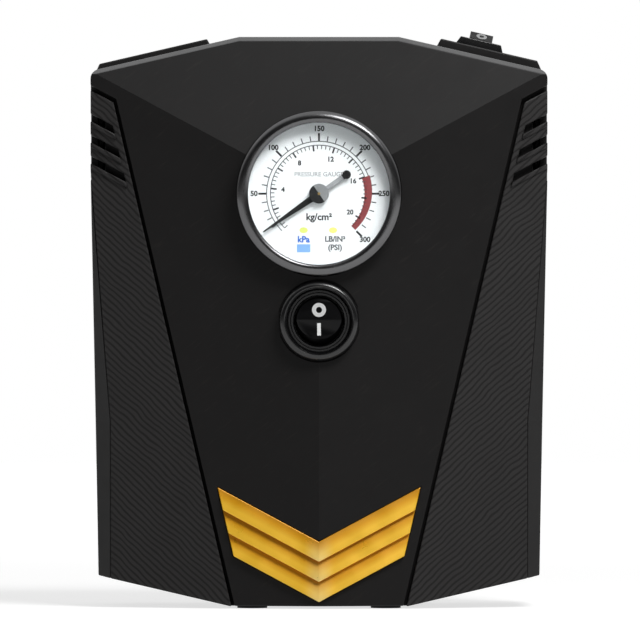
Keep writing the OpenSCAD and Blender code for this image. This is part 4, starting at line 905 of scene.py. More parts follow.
def lathe(profile: Outline, centre: Point, steps: int = 96) -> bmesh.types.BMesh:
    """A closed ring or disc turned about an axis along Y.

    Args:
        profile: radius and depth in millimetres, in order round the section.
        centre: a point of the axis, in millimetres.
        steps: faces round the axis.

    Returns:
        A bmesh in metres that the caller frees.
    """
    bm = bmesh.new()
    middle = Vector(centre)
    rings = []
    for step in range(steps):
        turn = math.tau * step / steps
        across, up = math.cos(turn), math.sin(turn)
        spots = [middle + Vector((r * across, y, r * up)) for r, y in profile]
        rings.append([bm.verts.new(spot * MM) for spot in spots])
    for step in range(steps):
        here, there = rings[step], rings[(step + 1) % steps]
        for i in range(len(profile)):
            j = (i + 1) % len(profile)
            bm.faces.new((here[i], here[j], there[j], there[i]))
    bmesh.ops.remove_doubles(bm, verts=bm.verts, dist=WELD_M)
    bmesh.ops.recalc_face_normals(bm, faces=bm.faces)
    return bm


def separate_boxes(node: str) -> list[tuple[Vector, Vector]]:
    """Boxes of the separate solids of a CAD node.

    Args:
        node: name of the CAD node.

    Returns:
        Each solid's lowest and highest corner in metres, in the order of the lowest corners.
    """
    bm = merged_copy(node)
    waiting, boxes = set(bm.verts), []
    while waiting:
        island, edge_of = set(), [waiting.pop()]
        while edge_of:
            vert = edge_of.pop()
            island.add(vert)
            for edge in vert.link_edges:
                other = edge.other_vert(vert)
                if other in waiting:
                    waiting.discard(other)
                    edge_of.append(other)
        spots = [vert.co for vert in island]
        low, high = (
            Vector((pick(spot[axis] for spot in spots) for axis in range(3))) for pick in (min, max)
        )
        boxes.append((low, high))
    bm.free()
    return sorted(boxes, key=lambda box: tuple(box[0]))


def finish_mesh(bm: bmesh.types.BMesh, name: str, finish: Finish) -> bpy.types.Object:
    """Turns a bmesh into an object with smooth shading, and frees it.

    Args:
        bm: the piece's shape.
        name: name of the new piece.
        finish: its finish.

    Returns:
        The new object.
    """
    mesh = bpy.data.meshes.new(name)
    bm.to_mesh(mesh)
    bm.free()
    smooth_by_angle(mesh)
    return new_object(name, mesh, finish)


# ---- Prints ----


@dataclass(frozen=True)
class Words:
    """Printed words centred on the origin of a plane; sizes in millimetres.

    The size is a capital's height, and each stroke grows by bolder on either side. The place
    takes the plane, whose Z faces the viewer, to its own place in millimetres.
    """

    text: str
    size: float
    place: Matrix
    bolder: float

    def lettering(self, bm: bmesh.types.BMesh) -> None:
        """Adds the words to a print.

        Args:
            bm: what they are added to.
        """
        curve = bpy.data.curves.new("words", "FONT")
        curve.body = self.text
        curve.size = self.size / CAPITAL_SHARE
        curve.align_x = "CENTER"
        curve.align_y = "CENTER"
        curve.extrude = PRINT_MM / 2
        curve.offset = self.bolder
        curve.resolution_u = 3
        holder = bpy.data.objects.new("words", curve)
        mesh = bpy.data.meshes.new_from_object(holder)
        mesh.transform(Matrix.Scale(MM, 4) @ self.place @ Matrix.Translation((0, 0, PRINT_MM / 2)))
        bm.from_mesh(mesh)
        bpy.data.objects.remove(holder)
        bpy.data.curves.remove(curve)
        bpy.data.meshes.remove(mesh)


@dataclass(frozen=True)
class Strokes:
    """A row of equal strokes across an arc of the dial, in millimetres and degrees."""

    name: str
    ink: Ink
    first: float
    step: float
    count: int
    span: tuple[float, float]
    width: float

    def printed(self, centre: Vector) -> bpy.types.Object:
        """Prints the row.

        Args:
            centre: the middle of the dial's face, in metres.

        Returns:
            The new object.
        """
        low, high = self.span
        sizes = {
            "Count": self.count,
            "First Angle": -math.radians(self.first),
            "Step Angle": math.radians(self.step),
            "Radius": (low + high) / 2 * MM,
            "Length": (high - low) * MM,
            "Width": self.width * MM,
            "Thickness": PRINT_MM * 2 * MM,
            "Centre": tuple(centre),
        }
        return tick_tree(self.ink).grown(self.name, self.ink, sizes)


def plate(bm: bmesh.types.BMesh, outline: Outline, place: Matrix) -> None:
    """Adds a flat printed shape to a bmesh.

    Args:
        bm: what it is added to.
        outline: its corners in the plane's X and Y, in millimetres.
        place: takes the plane, whose Z faces the viewer, to its place in millimetres.
    """
    low = [bm.verts.new(place @ Vector((x, y, 0)) * MM) for x, y in outline]
    high = [bm.verts.new(place @ Vector((x, y, PRINT_MM)) * MM) for x, y in outline]
    count = len(outline)
    bm.faces.new(high)
    bm.faces.new(list(reversed(low)))
    for i in range(count):
        j = (i + 1) % count
        bm.faces.new((low[i], low[j], high[j], high[i]))


def oblong(middle: tuple[float, float], width: float, height: float) -> Outline:
    """The outline of an upright oblong, anticlockwise from its lower left corner."""
    x, y = middle
    return [(x + width * i / 2, y + height * j / 2) for i, j in ((-1, -1), (1, -1), (1, 1), (-1, 1))]


def drape(bm: bmesh.types.BMesh, node: str, start: Vector, away: Vector) -> None:
    """Lays a print that hangs in front of a CAD node onto its surface.

    Args:
        bm: the print; its distance in front of the start plane is kept as its thickness.
        node: name of the CAD node.
        start: a point of the plane the print was made in, in metres.
        away: unit vector from the surface towards the print.
    """
    target = merged_copy(node)
    tree = BVHTree.FromBMesh(target)
    target.free()
    for vert in bm.verts:
        lift = (vert.co - start).dot(away)
        foot = vert.co - away * lift
        hit, _, _, _ = tree.ray_cast(foot, -away)
        if hit is not None:
            vert.co = hit + away * lift


@dataclass(frozen=True)
class SwitchMarks:
    """The O and the I of a rocker switch, in millimetres.

    The ring is given by its height above the rocker's middle, its outer and its inner radius,
    and the bar by its height, its width and its length.
    """

    name: str
    ink: Ink
    ring: tuple[float, float, float]
    bar: tuple[float, float, float]

    def printed(self, rocker: str, body: Body, start: Vector, lean: Matrix) -> None:
        """Prints both marks on a rocker.

        Args:
            rocker: name of the rocker's CAD node.
            body: the body that it is.
            start: a point in front of its face, in millimetres.
            lean: turns a plane whose Z faces the viewer to the rocker's.
        """
        place = Matrix.Translation(start) @ lean
        away = (lean @ Vector((0, 0, 1))).normalized()
        bm = bmesh.new()
        up, outer, inner = self.ring
        for i in range(RING_STEPS):
            a, b = math.tau * i / RING_STEPS, math.tau * (i + 1) / RING_STEPS
            quad = [
                (r * math.cos(t), up + r * math.sin(t))
                for r, t in ((inner, a), (outer, a), (outer, b), (inner, b))
            ]
            plate(bm, quad, place)
        height, width, length = self.bar
        plate(bm, oblong((0.0, height), width, length), place)
        drape(bm, rocker, start * MM, away)
        settle(finish_mesh(bm, self.name, self.ink), body)


# ---- Geometry Nodes ----


@dataclass
class GrowthTree:
    """A Geometry Nodes tree with named inputs that ends in plain faces."""

    name: str
    placed: bool = False
    tree: Tree = field(init=False)

    def __post_init__(self) -> None:
        """Starts the tree with its output, and with places for its copies if it takes them."""
        self.tree = bpy.data.node_groups.new(self.name, "GeometryNodeTree")
        if self.placed:
            self.size("Places", "NodeSocketGeometry")
        self.tree.interface.new_socket(
            "Geometry", in_out="OUTPUT", socket_type="NodeSocketGeometry"
        )

    def size(self, name: str, kind: str = "NodeSocketFloat") -> None:
        """Adds a named input."""
        self.tree.interface.new_socket(name, in_out="INPUT", socket_type=kind)

    def open(self) -> bpy.types.bpy_prop_collection:
        """Returns the named inputs as sockets, once all of them are added."""
        return add(self.tree, "NodeGroupInput").outputs

    def close(self, geometry: Socket, finish: Finish) -> None:
        """Ends the tree in real faces with their material.

        Args:
            geometry: the copies.
            finish: their finish.
        """
        real = add(self.tree, "GeometryNodeRealizeInstances", {"Geometry": geometry})
        dressed = add(
            self.tree,
            "GeometryNodeSetMaterial",
            {"Geometry": real.outputs["Geometry"], "Material": finish.material()},
        )
        add(self.tree, "NodeGroupOutput", {"Geometry": dressed.outputs["Geometry"]})

    def grown(
        self, name: str, finish: Finish, sizes: dict[str, object], places: Sequence[Point] = ()
    ) -> bpy.types.Object:
        """Runs the tree and returns its result as a plain mesh.

        Args:
            name: name of the new piece.
            finish: its finish.
            sizes: values of the named inputs.
            places: where its copies stand, in metres.

        Returns:
            The object, with no modifier left on it.
        """
        carried = bpy.data.meshes.new(name + "_carrier")
        carried.from_pydata([tuple(place) for place in places], [], [])
        carrier = bpy.data.objects.new(name + "_carrier", carried)
        bpy.context.scene.collection.objects.link(carrier)
        modifier = carrier.modifiers.new("growth", "NODES")
        modifier.node_group = self.tree
        items = self.tree.interface.items_tree
        sockets = {item.name: item.identifier for item in items if item.in_out == "INPUT"}
        for key, value in sizes.items():
            modifier[sockets[key]] = value
        graph = bpy.context.evaluated_depsgraph_get()
        mesh = bpy.data.meshes.new_from_object(carrier.evaluated_get(graph))
        mesh.name = name
        bpy.data.objects.remove(carrier)
        smooth_by_angle(mesh)
        return new_object(name, mesh, finish)


def tick_tree(finish: Finish) -> GrowthTree:
    """A ring of printed strokes: one flat bar repeated along an arc.

    Args:
        finish: the ink.

    Returns:
        The tree; its sizes are in metres and radians.
    """
    growth = GrowthTree("dial_strokes_" + finish.name)
    growth.size("Count", "NodeSocketInt")
    for name in ("First Angle", "Step Angle", "Radius", "Length", "Width", "Thickness"):
        growth.size(name)
    growth.size("Centre", "NodeSocketVector")
    given = growth.open()
    tree = growth.tree
    bar_size = add(
        tree,
        "ShaderNodeCombineXYZ",
        {"X": given["Length"], "Y": given["Thickness"], "Z": given["Width"]},
    )
    bar = add(tree, "GeometryNodeMeshCube", {"Size": bar_size.outputs["Vector"]})
    out = add(tree, "ShaderNodeCombineXYZ", {"X": given["Radius"]})
    moved = add(
        tree,
        "GeometryNodeTransform",
        {"Geometry": bar.outputs["Mesh"], "Translation": out.outputs["Vector"]},
    )
    points = add(
        tree, "GeometryNodeMeshLine", {"Count": given["Count"], "Offset": (0, 0, 0)}
    )
    placed = add(
        tree,
        "GeometryNodeSetPosition",
        {"Geometry": points.outputs["Mesh"], "Position": given["Centre"]},
    )
    index = add(tree, "GeometryNodeInputIndex")
    angle = add(
        tree,
        "ShaderNodeMath",
        {0: index.outputs["Index"], 1: given["Step Angle"], 2: given["First Angle"]},
        operation="MULTIPLY_ADD",
    )
    turn = add(tree, "ShaderNodeCombineXYZ", {"Y": angle.outputs[0]})
    copies = add(
        tree,
        "GeometryNodeInstanceOnPoints",
        {
            "Points": placed.outputs["Geometry"],
            "Instance": moved.outputs["Geometry"],
            "Rotation": turn.outputs["Vector"],
        },
    )
    growth.close(copies.outputs["Instances"], finish)
    return growth


def screw_tree(finish: Finish) -> GrowthTree:
    """A cross-head screw copied to each place, its head facing +Y.

    Args:
        finish: the metal.

    Returns:
        The tree; its sizes are in metres, and a place is the top of a head.
    """
    growth = GrowthTree("screws_" + finish.name, placed=True)
    for name in ("Head", "Shank"):
        growth.size(f"{name} Radius")
        growth.size(f"{name} Length")
    for name in ("Width", "Length", "Depth"):
        growth.size(f"Slot {name}")
    given = growth.open()
    tree = growth.tree

    def hung(kind: str, sides: int) -> Socket:
        """Adds a cylinder that hangs down from the origin.

        Args:
            kind: Head or Shank.
            sides: faces round it.

        Returns:
            Its mesh.
        """
        depth = given[f"{kind} Length"]
        whole = add(
            tree,
            "GeometryNodeMeshCylinder",
            {"Vertices": sides, "Radius": given[f"{kind} Radius"], "Depth": depth},
        )
        drop = add(tree, "ShaderNodeMath", {0: depth, 1: -0.5}, operation="MULTIPLY")
        shift = add(tree, "ShaderNodeCombineXYZ", {"Z": drop.outputs[0]})
        moved = add(
            tree,
            "GeometryNodeTransform",
            {"Geometry": whole.outputs["Mesh"], "Translation": shift.outputs["Vector"]},
        )
        return moved.outputs["Geometry"]

    cross = add(tree, "GeometryNodeJoinGeometry")
    for across, along in (("Length", "Width"), ("Width", "Length")):
        size = add(
            tree,
            "ShaderNodeCombineXYZ",
            {"X": given[f"Slot {across}"], "Y": given[f"Slot {along}"], "Z": given["Slot Depth"]},
        )
        cut = add(tree, "GeometryNodeMeshCube", {"Size": size.outputs["Vector"]})
        tree.links.new(cut.outputs["Mesh"], cross.inputs["Geometry"])
    hollow = add(
        tree,
        "GeometryNodeMeshBoolean",
        {"Mesh 1": hung("Head", 40), "Mesh 2": cross.outputs["Geometry"]},
        operation="DIFFERENCE",
    )
    whole = add(tree, "GeometryNodeJoinGeometry")
    for part in (hollow.outputs["Mesh"], hung("Shank", 24)):
        tree.links.new(part, whole.inputs["Geometry"])
    copies = add(
        tree,
        "GeometryNodeInstanceOnPoints",
        {
            "Points": given["Places"],
            "Instance": whole.outputs["Geometry"],
            "Rotation": (math.radians(-90), 0, 0),
        },
    )
    growth.close(copies.outputs["Instances"], finish)
    return growth


# ---- Sub-assemblies, with sizes in millimetres and degrees ----


@dataclass
class Case:
    """The covers, the side panels and the trim.

    A slope of the rim faces up by more than rim_up and forward by more than rim_forward, both
    as parts of its normal, and it lies higher than rim_from, in metres.
    """

    edge_mm: float = 0.35
    panel_edge_mm: float = 0.35
    trim_edge_mm: float = 0.25
    rim_up: float = 0.6
    rim_forward: float = -0.2
    rim_from: float = 0.15

    def build(self) -> None:
        """Makes and dresses the case."""
        front = rounded_copy(
            "front_cover", "cover_front", CASE_BLACK, self.edge_mm, faceted=True
        )
        self.paint_rim_highlight(front)
        rounded_copy("rear_cover", "cover_rear", REAR_BLACK, self.edge_mm, faceted=True)
        for side in ("left", "right"):
            node, name = f"side_panel_{side}", f"panel_{side}"
            rounded_copy(node, name, PANEL_GREY, self.panel_edge_mm, faceted=True)
        rounded_copy(
            "chevron_trim", "trim_chevron", GOLD, self.trim_edge_mm, faceted=True
        )

    def paint_rim_highlight(self, cover: bpy.types.Object) -> None:
        """Puts the rim's finish, whose paler colour is a painted highlight, on the rim's slopes, which
        face both up and forward.

        Args:
            cover: the finished front cover.
        """
        cover.data.materials.append(RIM_PAINTED_HIGHLIGHT.material())
        for polygon in cover.data.polygons:
            slopes = polygon.normal.z > self.rim_up and polygon.normal.y < self.rim_forward
            if slopes and polygon.center.z > self.rim_from:
                polygon.material_index = 1


@dataclass
class Gauge:
    """The pressure gauge: bezel, lens, printed dial and pointer.

    Angles run anticlockwise from the right as the dial is read.
    """

    centre: Point = (0.0, -34.0, 124.0)
    dial_front: float = 0.6
    bezel_inner_r: float = 21.2
    bezel_seat_r: float = 22.05
    bezel_back_edge: tuple[float, float] = (0.4, 0.5)
    bezel_steps: int = 128
    lens_front: float = -37.0
    lens_gap: float = 0.02
    crest_share: float = 0.35
    crown_drop: float = 2.2
    inner_drop: float = 0.75
    crown_steps: int = 12
    zero: float = 225.0
    outer_major: float = 45.0
    outer_minor: float = 9.0
    outer_value: int = 50
    outer_numeral_r: float = 19.4
    inner_major: float = 25.6
    inner_parts: int = 5
    inner_value: int = 2
    inner_numeral_r: float = 10.8
    arc_radii: tuple[float, float] = (14.35, 15.5)
    arc_width: float = 0.28
    band_radii: Point = (13.6, 16.1, 15.3)
    band_first: float = 20.0
    band_last: float = -45.0
    dot_size: tuple[float, float] = (1.3, 0.9)
    dot_corners: int = 8

    def build(self) -> None:
        """Makes and dresses the gauge."""
        self.crowned_bezel()
        rounded_copy("gauge_lens", "gauge_lens_clear", CLEAR, 0.1)
        rounded_copy("gauge_dial", "gauge_dial_plate", DIAL_WHITE, 0.1)
        rounded_copy(
            "gauge_pointer",
            "gauge_pointer_hand",
            POINTER_BLACK,
            0.12,
            Body.POINTER,
        )
        self.print_scales()
        self.print_words()
        self.print_marks()

    def crowned_bezel(self) -> None:
        """Makes the bezel's ring, its face one crowned curve from the rim down to the lens."""
        low, high = (Vector(corner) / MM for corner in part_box("gauge_bezel"))
        outer, front, back = (high.x - low.x) / 2, low.y, high.y
        inner, seat = self.bezel_inner_r, self.bezel_seat_r
        crest = inner + (outer - inner) * self.crest_share
        edge_r, edge_y = self.bezel_back_edge
        profile = [(seat, back), (outer - edge_r, back), (outer, back - edge_y)]
        turns = [math.radians(90) * i / self.crown_steps for i in range(self.crown_steps + 1)]
        for a in turns:
            depth = front + self.crown_drop * (1 - math.sin(a))
            profile.append((crest + (outer - crest) * math.cos(a), depth))
        for a in turns[1:]:
            depth = front + self.inner_drop * (1 - math.cos(a))
            profile.append((crest - (crest - inner) * math.sin(a), depth))
        rest = self.lens_front - self.lens_gap
        profile += [(inner, rest), (seat, rest)]
        ring = lathe(profile, (self.centre[0], 0.0, self.centre[2]), self.bezel_steps)
        made = finish_mesh(ring, "gauge_bezel_ring", DARK_CHROME)
        settle(made, Body.HOUSING, ["gauge_bezel"])

    def on_dial(self, radius: float, degrees: float) -> Matrix:
        """Place of a print on the dial's face.

        Args:
            radius: distance from the pointer's axis.
            degrees: its angle.

        Returns:
            The matrix from the print's plane to its place, in millimetres.
        """
        a = math.radians(degrees)
        out = Vector((radius * math.cos(a), self.dial_front, radius * math.sin(a)))
        return Matrix.Translation(Vector(self.centre) + out) @ FACE_FORWARD

    def spot(self, x: float, z: float) -> Matrix:
        """Place of a print by its distances right of and above the pointer's axis."""
        return self.on_dial(math.hypot(x, z), math.degrees(math.atan2(z, x)))

    def arc_band(self, bm: bmesh.types.BMesh, radii: Point, first: float, last: float) -> None:
        """Adds a printed arc.

        Args:
            bm: what it is added to.
            radii: its inner radius, and its outer radius at the first and the last angle.
            first: the angle where it starts.
            last: the angle where it ends.
        """
        inner, outer_first, outer_last = radii
        steps = int(abs(first - last) / ARC_STEP_DEGREES)
        for i in range(steps):
            quad = []
            for k, inside in ((i, True), (i + 1, True), (i + 1, False), (i, False)):
                t = k / steps
                a = math.radians(first + (last - first) * t)
                r = inner if inside else outer_first + (outer_last - outer_first) * t
                quad.append((r * math.cos(a), r * math.sin(a)))
            plate(bm, quad, self.on_dial(0, 0))

    def printed(self, bm: bmesh.types.BMesh, name: str, ink: Ink) -> None:
        """Settles a print on the dial."""
        settle(finish_mesh(bm, name, ink), Body.HOUSING)

    def print_scales(self) -> None:
        """Prints both scales, their arcs and the red band."""
        zero, outer, outer_step = self.zero, self.outer_major, self.outer_minor
        inner, inner_step = self.inner_major, self.inner_major / self.inner_parts
        grey, black = INK_GREY, INK_BLACK
        middle = Vector(self.centre) * MM + Vector((0, self.dial_front * MM, 0))
        for row in (
            Strokes("dial_outer_minor", grey, zero - outer_step, outer_step, 30, (15.8, 17.3), 0.34),
            Strokes("dial_outer_major", black, zero - outer, outer, 6, (15.8, 18.1), 0.6),
            Strokes("dial_inner_minor", grey, zero, inner_step, 53, (13.3, 14.4), 0.28),
            Strokes("dial_inner_major", black, zero - inner, inner, 10, (12.7, 14.4), 0.5),
        ):
            settle(row.printed(middle), Body.HOUSING)
        arcs = bmesh.new()
        for r in self.arc_radii:
            radii = (r, r + self.arc_width, r + self.arc_width)
            self.arc_band(arcs, radii, zero, self.band_first)
        self.printed(arcs, "dial_arcs", INK_GREY)
        band = bmesh.new()
        self.arc_band(band, self.band_radii, self.band_first, self.band_last)
        self.printed(band, "dial_red_band", INK_RED)

    def print_words(self) -> None:
        """Prints the numerals, the title and the units."""
        numerals = []
        for i in range(1, 7):
            place = self.on_dial(self.outer_numeral_r, self.zero - self.outer_major * i)
            numerals.append(Words(str(self.outer_value * i), 1.5, place, 0.08))
        for i in range(2, 11, 2):
            place = self.on_dial(self.inner_numeral_r, self.zero - self.inner_major * i)
            numerals.append(Words(str(self.inner_value * i), 1.4, place, 0.08))
        unit = Words("kg/cm²", 2.0, self.on_dial(7.0, -90), 0.08)
        title = Words("PRESSURE GAUGE", 1.3, self.on_dial(5.75, 90), 0.04)
        second = Words("LB/IN²", 1.6, self.spot(4.8, -13.6), 0.07)
        below = Words("(PSI)", 1.6, self.spot(4.8, -16.1), 0.07)
        third = Words("kPa", 1.8, self.spot(-4.6, -13.7), 0.1)
        for name, ink, words in (
            ("dial_numerals", INK_BLACK, numerals),
            ("dial_unit", INK_BLACK, [unit]),
            ("dial_title", INK_PALE, [title]),
            ("dial_second_unit", INK_GREY, [second, below]),
            ("dial_third_unit", INK_BLUE, [third]),
        ):
            bm = bmesh.new()
            for line in words:
                line.lettering(bm)
            self.printed(bm, name, ink)

    def print_marks(self) -> None:
        """Prints the pale blue block and the two lime dots."""
        box = bmesh.new()
        plate(box, oblong((0.0, 0.0), 4.0, 2.4), self.spot(-4.6, -16.3))
        self.printed(box, "dial_blue_box", INK_PALE_BLUE)
        dots = bmesh.new()
        width, height = self.dot_size
        turns = [math.tau * k / self.dot_corners for k in range(self.dot_corners)]
        dot = [(width * math.cos(a), height * math.sin(a)) for a in turns]
        for x in (-4.6, 4.2):
            plate(dots, dot, self.spot(x, -10.9))
        self.printed(dots, "dial_lime_dots", INK_LIME)


@dataclass
class MainSwitch:
    """The round main switch with its printed rocker."""

    axis: Point = (0.0, -34.0, 86.0)
    in_front: float = 10.0
    marks: SwitchMarks = SwitchMarks("main_switch_marks", INK_WHITE, (3.3, 2.1, 0.9), (-2.5, 1.1, 3.7))

    def build(self) -> None:
        """Makes and dresses the main switch."""
        rounded_copy("main_switch_body", "main_switch_ring", GLOSS_BLACK, 0.15)
        rounded_copy(
            "main_switch_rocker",
            "main_switch_button",
            ROCKER_BLACK,
            0.3,
            Body.MAIN_ROCKER,
        )
        start = Vector(self.axis) - Vector((0, self.in_front, 0))
        self.marks.printed("main_switch_rocker", Body.MAIN_ROCKER, start, FACE_FORWARD)


@dataclass
class ShoulderParts:
    """The lamp switch on the right shoulder and the lamp on the left."""

    shoulder_slope: float = 13.03
    above: float = 8.0
    marks: SwitchMarks = SwitchMarks("lamp_switch_marks", WORN_WHITE, (2.6, 1.6, 0.75), (-2.2, 0.7, 2.4))

    def build(self) -> None:
        """Makes and dresses the lamp switch and the lamp."""
        rounded_copy("lamp_switch_body", "lamp_switch_frame", GLOSS_BLACK, 0.25)
        rounded_copy(
            "lamp_switch_rocker",
            "lamp_switch_button",
            ROCKER_BLACK,
            0.25,
            Body.LAMP_ROCKER,
        )
        rounded_copy("lamp_lens", "lamp_window", CLEAR, 0.2)
        low, high = (Vector(corner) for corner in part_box("lamp_switch_rocker"))
        lean = Matrix.Rotation(math.radians(self.shoulder_slope), 4, "Y")
        away = (lean @ Vector((0, 0, 1))).normalized()
        start = (low + high) / 2 / MM + away * self.above
        self.marks.printed("lamp_switch_rocker", Body.LAMP_ROCKER, start, lean)


@dataclass
class BackAndBase:
    """What shows at the back and underneath: screws, bay, fittings and feet.

    The gland's section is given in parts. In each pair of its nose, flange and lip, the first
    number is how far a corner lies inside the flange's rim or, for the lip, outside the sleeve,
    and the second how far it lies from the gland's front, for the nose, or from its back. In a
    ring's pairs they are counted from the sleeve and from where the ring starts.
    """

    head_h: float = 2.2
    slot_w: float = 0.9
    slot_len: float = 3.4
    slot_share: float = 1.3
    slot_depth: float = 1.3
    shank_share: float = 0.5
    gland_bore_r: float = 2.6
    gland_nose: Outline = ((0.8, 0.0), (0.8, 1.9), (1.5, 2.0))
    gland_flange: Outline = ((1.5, 8.1), (0.0, 8.0), (0.0, 6.4), (0.4, 6.0))
    sleeve_inset: float = 1.6
    rings: int = 3
    ring_from: float = 6.0
    ring_pitch: float = 1.9
    ring: Outline = ((0.6, 0.05), (0.6, 1.0), (-0.3, 1.2), (-0.3, 1.7))
    gland_lip: Outline = ((0.3, 0.2), (0.0, 0.0))

    def build(self) -> None:
        """Makes and dresses the back and the base."""
        self.screws()
        rounded_copy("storage_bay", "storage_bay_tray", REAR_BLACK, 0.4)
        rounded_copy("outlet_nipple", "outlet_fitting", BRASS, 0.2)
        rounded_copy("feet", "feet_rubber", RUBBER, 0.25)
        self.gland()

    def screws(self) -> None:
        """Makes the cross-head screws, one shape repeated at the places of the CAD's six."""
        boxes = separate_boxes("housing_screws")
        places = [((low.x + high.x) / 2, high.y, (low.z + high.z) / 2) for low, high in boxes]
        low, high = boxes[0]
        radius = (high.x - low.x) / 2
        sizes = {
            "Head Radius": radius,
            "Head Length": self.head_h * MM,
            "Shank Radius": radius * self.shank_share,
            "Shank Length": high.y - low.y,
            "Slot Width": self.slot_w * MM,
            "Slot Length": min(self.slot_len * MM, radius * self.slot_share),
            "Slot Depth": self.slot_depth * MM,
        }
        made = screw_tree(STEEL).grown("screws_cross_head", STEEL, sizes, places)
        settle(made, Body.HOUSING, ["housing_screws"])

    def gland(self) -> None:
        """Makes the lead's rubber gland, ringed by grooves."""
        low, high = (Vector(corner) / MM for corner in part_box("lead_gland"))
        outer, front, back = (high.x - low.x) / 2, low.y, high.y
        sleeve = outer - self.sleeve_inset
        profile = [(self.gland_bore_r, back), (self.gland_bore_r, front)]
        profile += [(outer - inset, front + depth) for inset, depth in self.gland_nose]
        profile += [(outer - inset, back - depth) for inset, depth in self.gland_flange]
        for i in range(self.rings):
            start = back - self.ring_from + self.ring_pitch * i
            profile += [(sleeve + rise, start + depth) for rise, depth in self.ring]
        profile += [(sleeve + rise, back - depth) for rise, depth in self.gland_lip]
        ringed = lathe(profile, ((low.x + high.x) / 2, 0.0, (low.z + high.z) / 2))
        made = finish_mesh(ringed, "lead_gland_ringed", RUBBER)
        settle(made, Body.HOUSING, ["lead_gland"])


@dataclass
class Internals:
    """CAD nodes whose shape is final and that only get their finish."""

    def build(self) -> None:
        """Puts the finish of its slot on every CAD node."""
        slots = {part["node"]: part.get("material_slot") for part in frame["record"]["subparts"]}
        for name, node in frame["nodes"].items():
            finish = NODE_FINISHES.get(name, SLOT_FINISHES[slots[name]])
            node.data.materials.clear()
            node.data.materials.append(finish.material())
            LOG.info("node %s: %s", name, finish.name)


# ---- Studio ----


def background_rays(tree: Tree) -> Socket:
    """Adds a test for rays that show the background: the camera's, mirrored ones and those through glass.

    Args:
        tree: the floor's or the world's tree.

    Returns:
        1 for such a ray, and otherwise 0.
    """
    rays = add(tree, "ShaderNodeLightPath").outputs
    seen = rays["Is Camera Ray"]
    for kind in ("Is Glossy Ray", "Is Transmission Ray"):
        seen = add(tree, "ShaderNodeMath", {0: seen, 1: rays[kind]}, operation="MAXIMUM").outputs[0]
    return seen


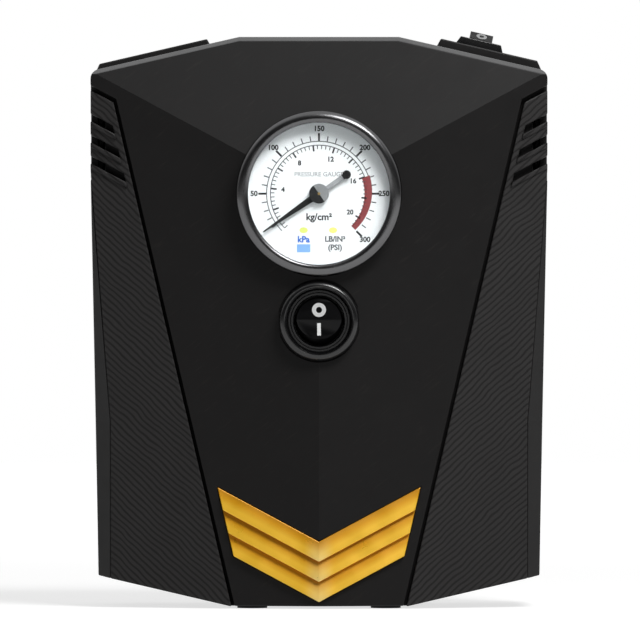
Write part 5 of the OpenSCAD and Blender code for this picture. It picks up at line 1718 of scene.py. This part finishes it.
@dataclass
class Studio:
    """Camera, floor, world and lamp, in metres but for names that end in _mm."""

    distance: float = 3.0
    aside: float = 0.0003
    height: float = 0.0863
    pixel_mm: float = 0.2985
    sensor_mm: float = 36.0
    front_y: float = -0.034
    floor_half: float = 3.0
    paper_tones: tuple[str, str] = ("#b4b4b4", "#bababa")
    floor_lift: float = 0.7
    far_lift: float = 0.95
    near_mm: float = 150.0
    far_mm: float = 1300.0
    plain_light: float = 0.2
    dark_front: float = 0.06
    overhead_share: float = 1.2
    behind_range: tuple[float, float] = (-0.1, 0.9)
    key_place: Point = (0.4, -0.72, 0.92)
    key_aim: Point = (0, 0, 0.09)
    key_size: tuple[float, float] = (0.5, 0.4)
    key_watts: float = 11.0

    def build(self) -> None:
        """Sets up the studio."""
        bpy.context.scene.view_settings.view_transform = "Standard"
        self.camera()
        self.floor()
        self.world()
        self.key_lamp()
        LOG.info("studio ready")

    def camera(self) -> None:
        """Places the camera level with the middle of the object."""
        data = bpy.data.cameras.new("camera")
        data.sensor_width = self.sensor_mm
        span = FRAME_PIXELS * self.pixel_mm * MM
        data.lens = self.sensor_mm * self.distance / span
        holder = bpy.data.objects.new("camera", data)
        holder.location = (self.aside, self.front_y - self.distance, self.height)
        holder.rotation_euler = (math.radians(90), 0, 0)
        bpy.context.scene.collection.objects.link(holder)
        bpy.context.scene.camera = holder

    def floor(self) -> None:
        """Lays a pale floor that catches the object's shadow."""
        bm = bmesh.new()
        corners = oblong((0.0, 0.0), self.floor_half * 2, self.floor_half * 2)
        bm.faces.new([bm.verts.new((x, y, 0)) for x, y in corners])
        mesh = bpy.data.meshes.new("floor")
        bm.to_mesh(mesh)
        bm.free()
        mesh.materials.append(self.paper())
        floor = bpy.data.objects.new("floor", mesh)
        bpy.context.scene.collection.objects.link(floor)

    def paper(self) -> bpy.types.Material:
        """Makes white paper, which shows as a white background further from the object.

        Returns:
            The floor's material.
        """
        pale = bpy.data.materials.new("white_paper")
        pale.use_nodes = True
        tree = pale.node_tree
        tree.nodes.clear()
        place = object_place(tree)
        fibre = add(tree, "ShaderNodeTexNoise", {"Vector": place, "Scale": 2.0, "Detail": 3.0})
        stops = [(spot, linear(tone)) for spot, tone in zip(CLOUD_RANGE, self.paper_tones)]
        tone = add(tree, "ShaderNodeValToRGB", {"Fac": fibre.outputs["Fac"]}, stops)
        paper = add(
            tree,
            "ShaderNodeBsdfPrincipled",
            {"Base Color": tone.outputs["Color"], "Roughness": 0.9, "Specular IOR Level": 0.1},
        )
        away = add(tree, "ShaderNodeVectorMath", {0: place}, operation="LENGTH").outputs["Value"]
        reach = add(
            tree,
            "ShaderNodeMapRange",
            {
                "Value": away,
                "From Min": self.near_mm,
                "From Max": self.far_mm,
                "To Min": self.floor_lift,
                "To Max": self.far_lift,
            },
            interpolation_type="SMOOTHSTEP",
        ).outputs["Result"]
        lift = add(
            tree, "ShaderNodeMath", {0: background_rays(tree), 1: reach}, operation="MULTIPLY"
        )
        white = add(tree, "ShaderNodeEmission", {"Strength": lift.outputs[0]})
        both = add(
            tree, "ShaderNodeAddShader", {0: paper.outputs["BSDF"], 1: white.outputs["Emission"]}
        )
        add(tree, "ShaderNodeOutputMaterial", {"Surface": both.outputs["Shader"]})
        return pale

    def world(self) -> None:
        """Makes a white surround above and behind the object, which lights it softly."""
        world = bpy.data.worlds.new("surround")
        world.use_nodes = True
        tree = world.node_tree
        tree.nodes.clear()
        direction = add(tree, "ShaderNodeTexCoord").outputs["Generated"]
        parts = add(tree, "ShaderNodeSeparateXYZ", {"Vector": direction}).outputs
        behind = add(
            tree,
            "ShaderNodeMath",
            {0: parts["Z"], 1: self.overhead_share, 2: parts["Y"]},
            operation="MULTIPLY_ADD",
        )
        low, high = self.behind_range
        mirrored = add(
            tree,
            "ShaderNodeMapRange",
            {
                "Value": behind.outputs[0],
                "From Min": low,
                "From Max": high,
                "To Min": self.dark_front,
            },
            interpolation_type="SMOOTHSTEP",
        ).outputs["Result"]
        rays = add(tree, "ShaderNodeLightPath").outputs
        shown = add(
            tree, "ShaderNodeMix", {"Factor": rays["Is Glossy Ray"], "A": 1.0, "B": mirrored}
        ).outputs["Result"]
        strength = add(
            tree,
            "ShaderNodeMix",
            {"Factor": background_rays(tree), "A": self.plain_light, "B": shown},
        ).outputs["Result"]
        light = add(
            tree, "ShaderNodeBackground", {"Color": (1, 1, 1, 1), "Strength": strength}
        )
        add(tree, "ShaderNodeOutputWorld", {"Surface": light.outputs["Background"]})
        bpy.context.scene.world = world

    def key_lamp(self) -> None:
        """Hangs the one soft lamp, in front of the object and above it."""
        data = bpy.data.lights.new("key", "AREA")
        data.shape = "RECTANGLE"
        data.size, data.size_y = self.key_size
        data.energy = self.key_watts
        holder = bpy.data.objects.new("key", data)
        holder.location = self.key_place
        aim = Vector(self.key_aim) - Vector(self.key_place)
        holder.rotation_euler = aim.to_track_quat("-Z", "Y").to_euler()
        bpy.context.scene.collection.objects.link(holder)


def main() -> None:
    """Builds the studio and every sub-assembly in order."""
    for part in (
        Studio(),
        Internals(),
        Case(),
        Gauge(),
        MainSwitch(),
        ShoulderParts(),
        BackAndBase(),
    ):
        LOG.info("building %s", type(part).__name__)
        part.build()


if __name__ == "__main__":
    main()
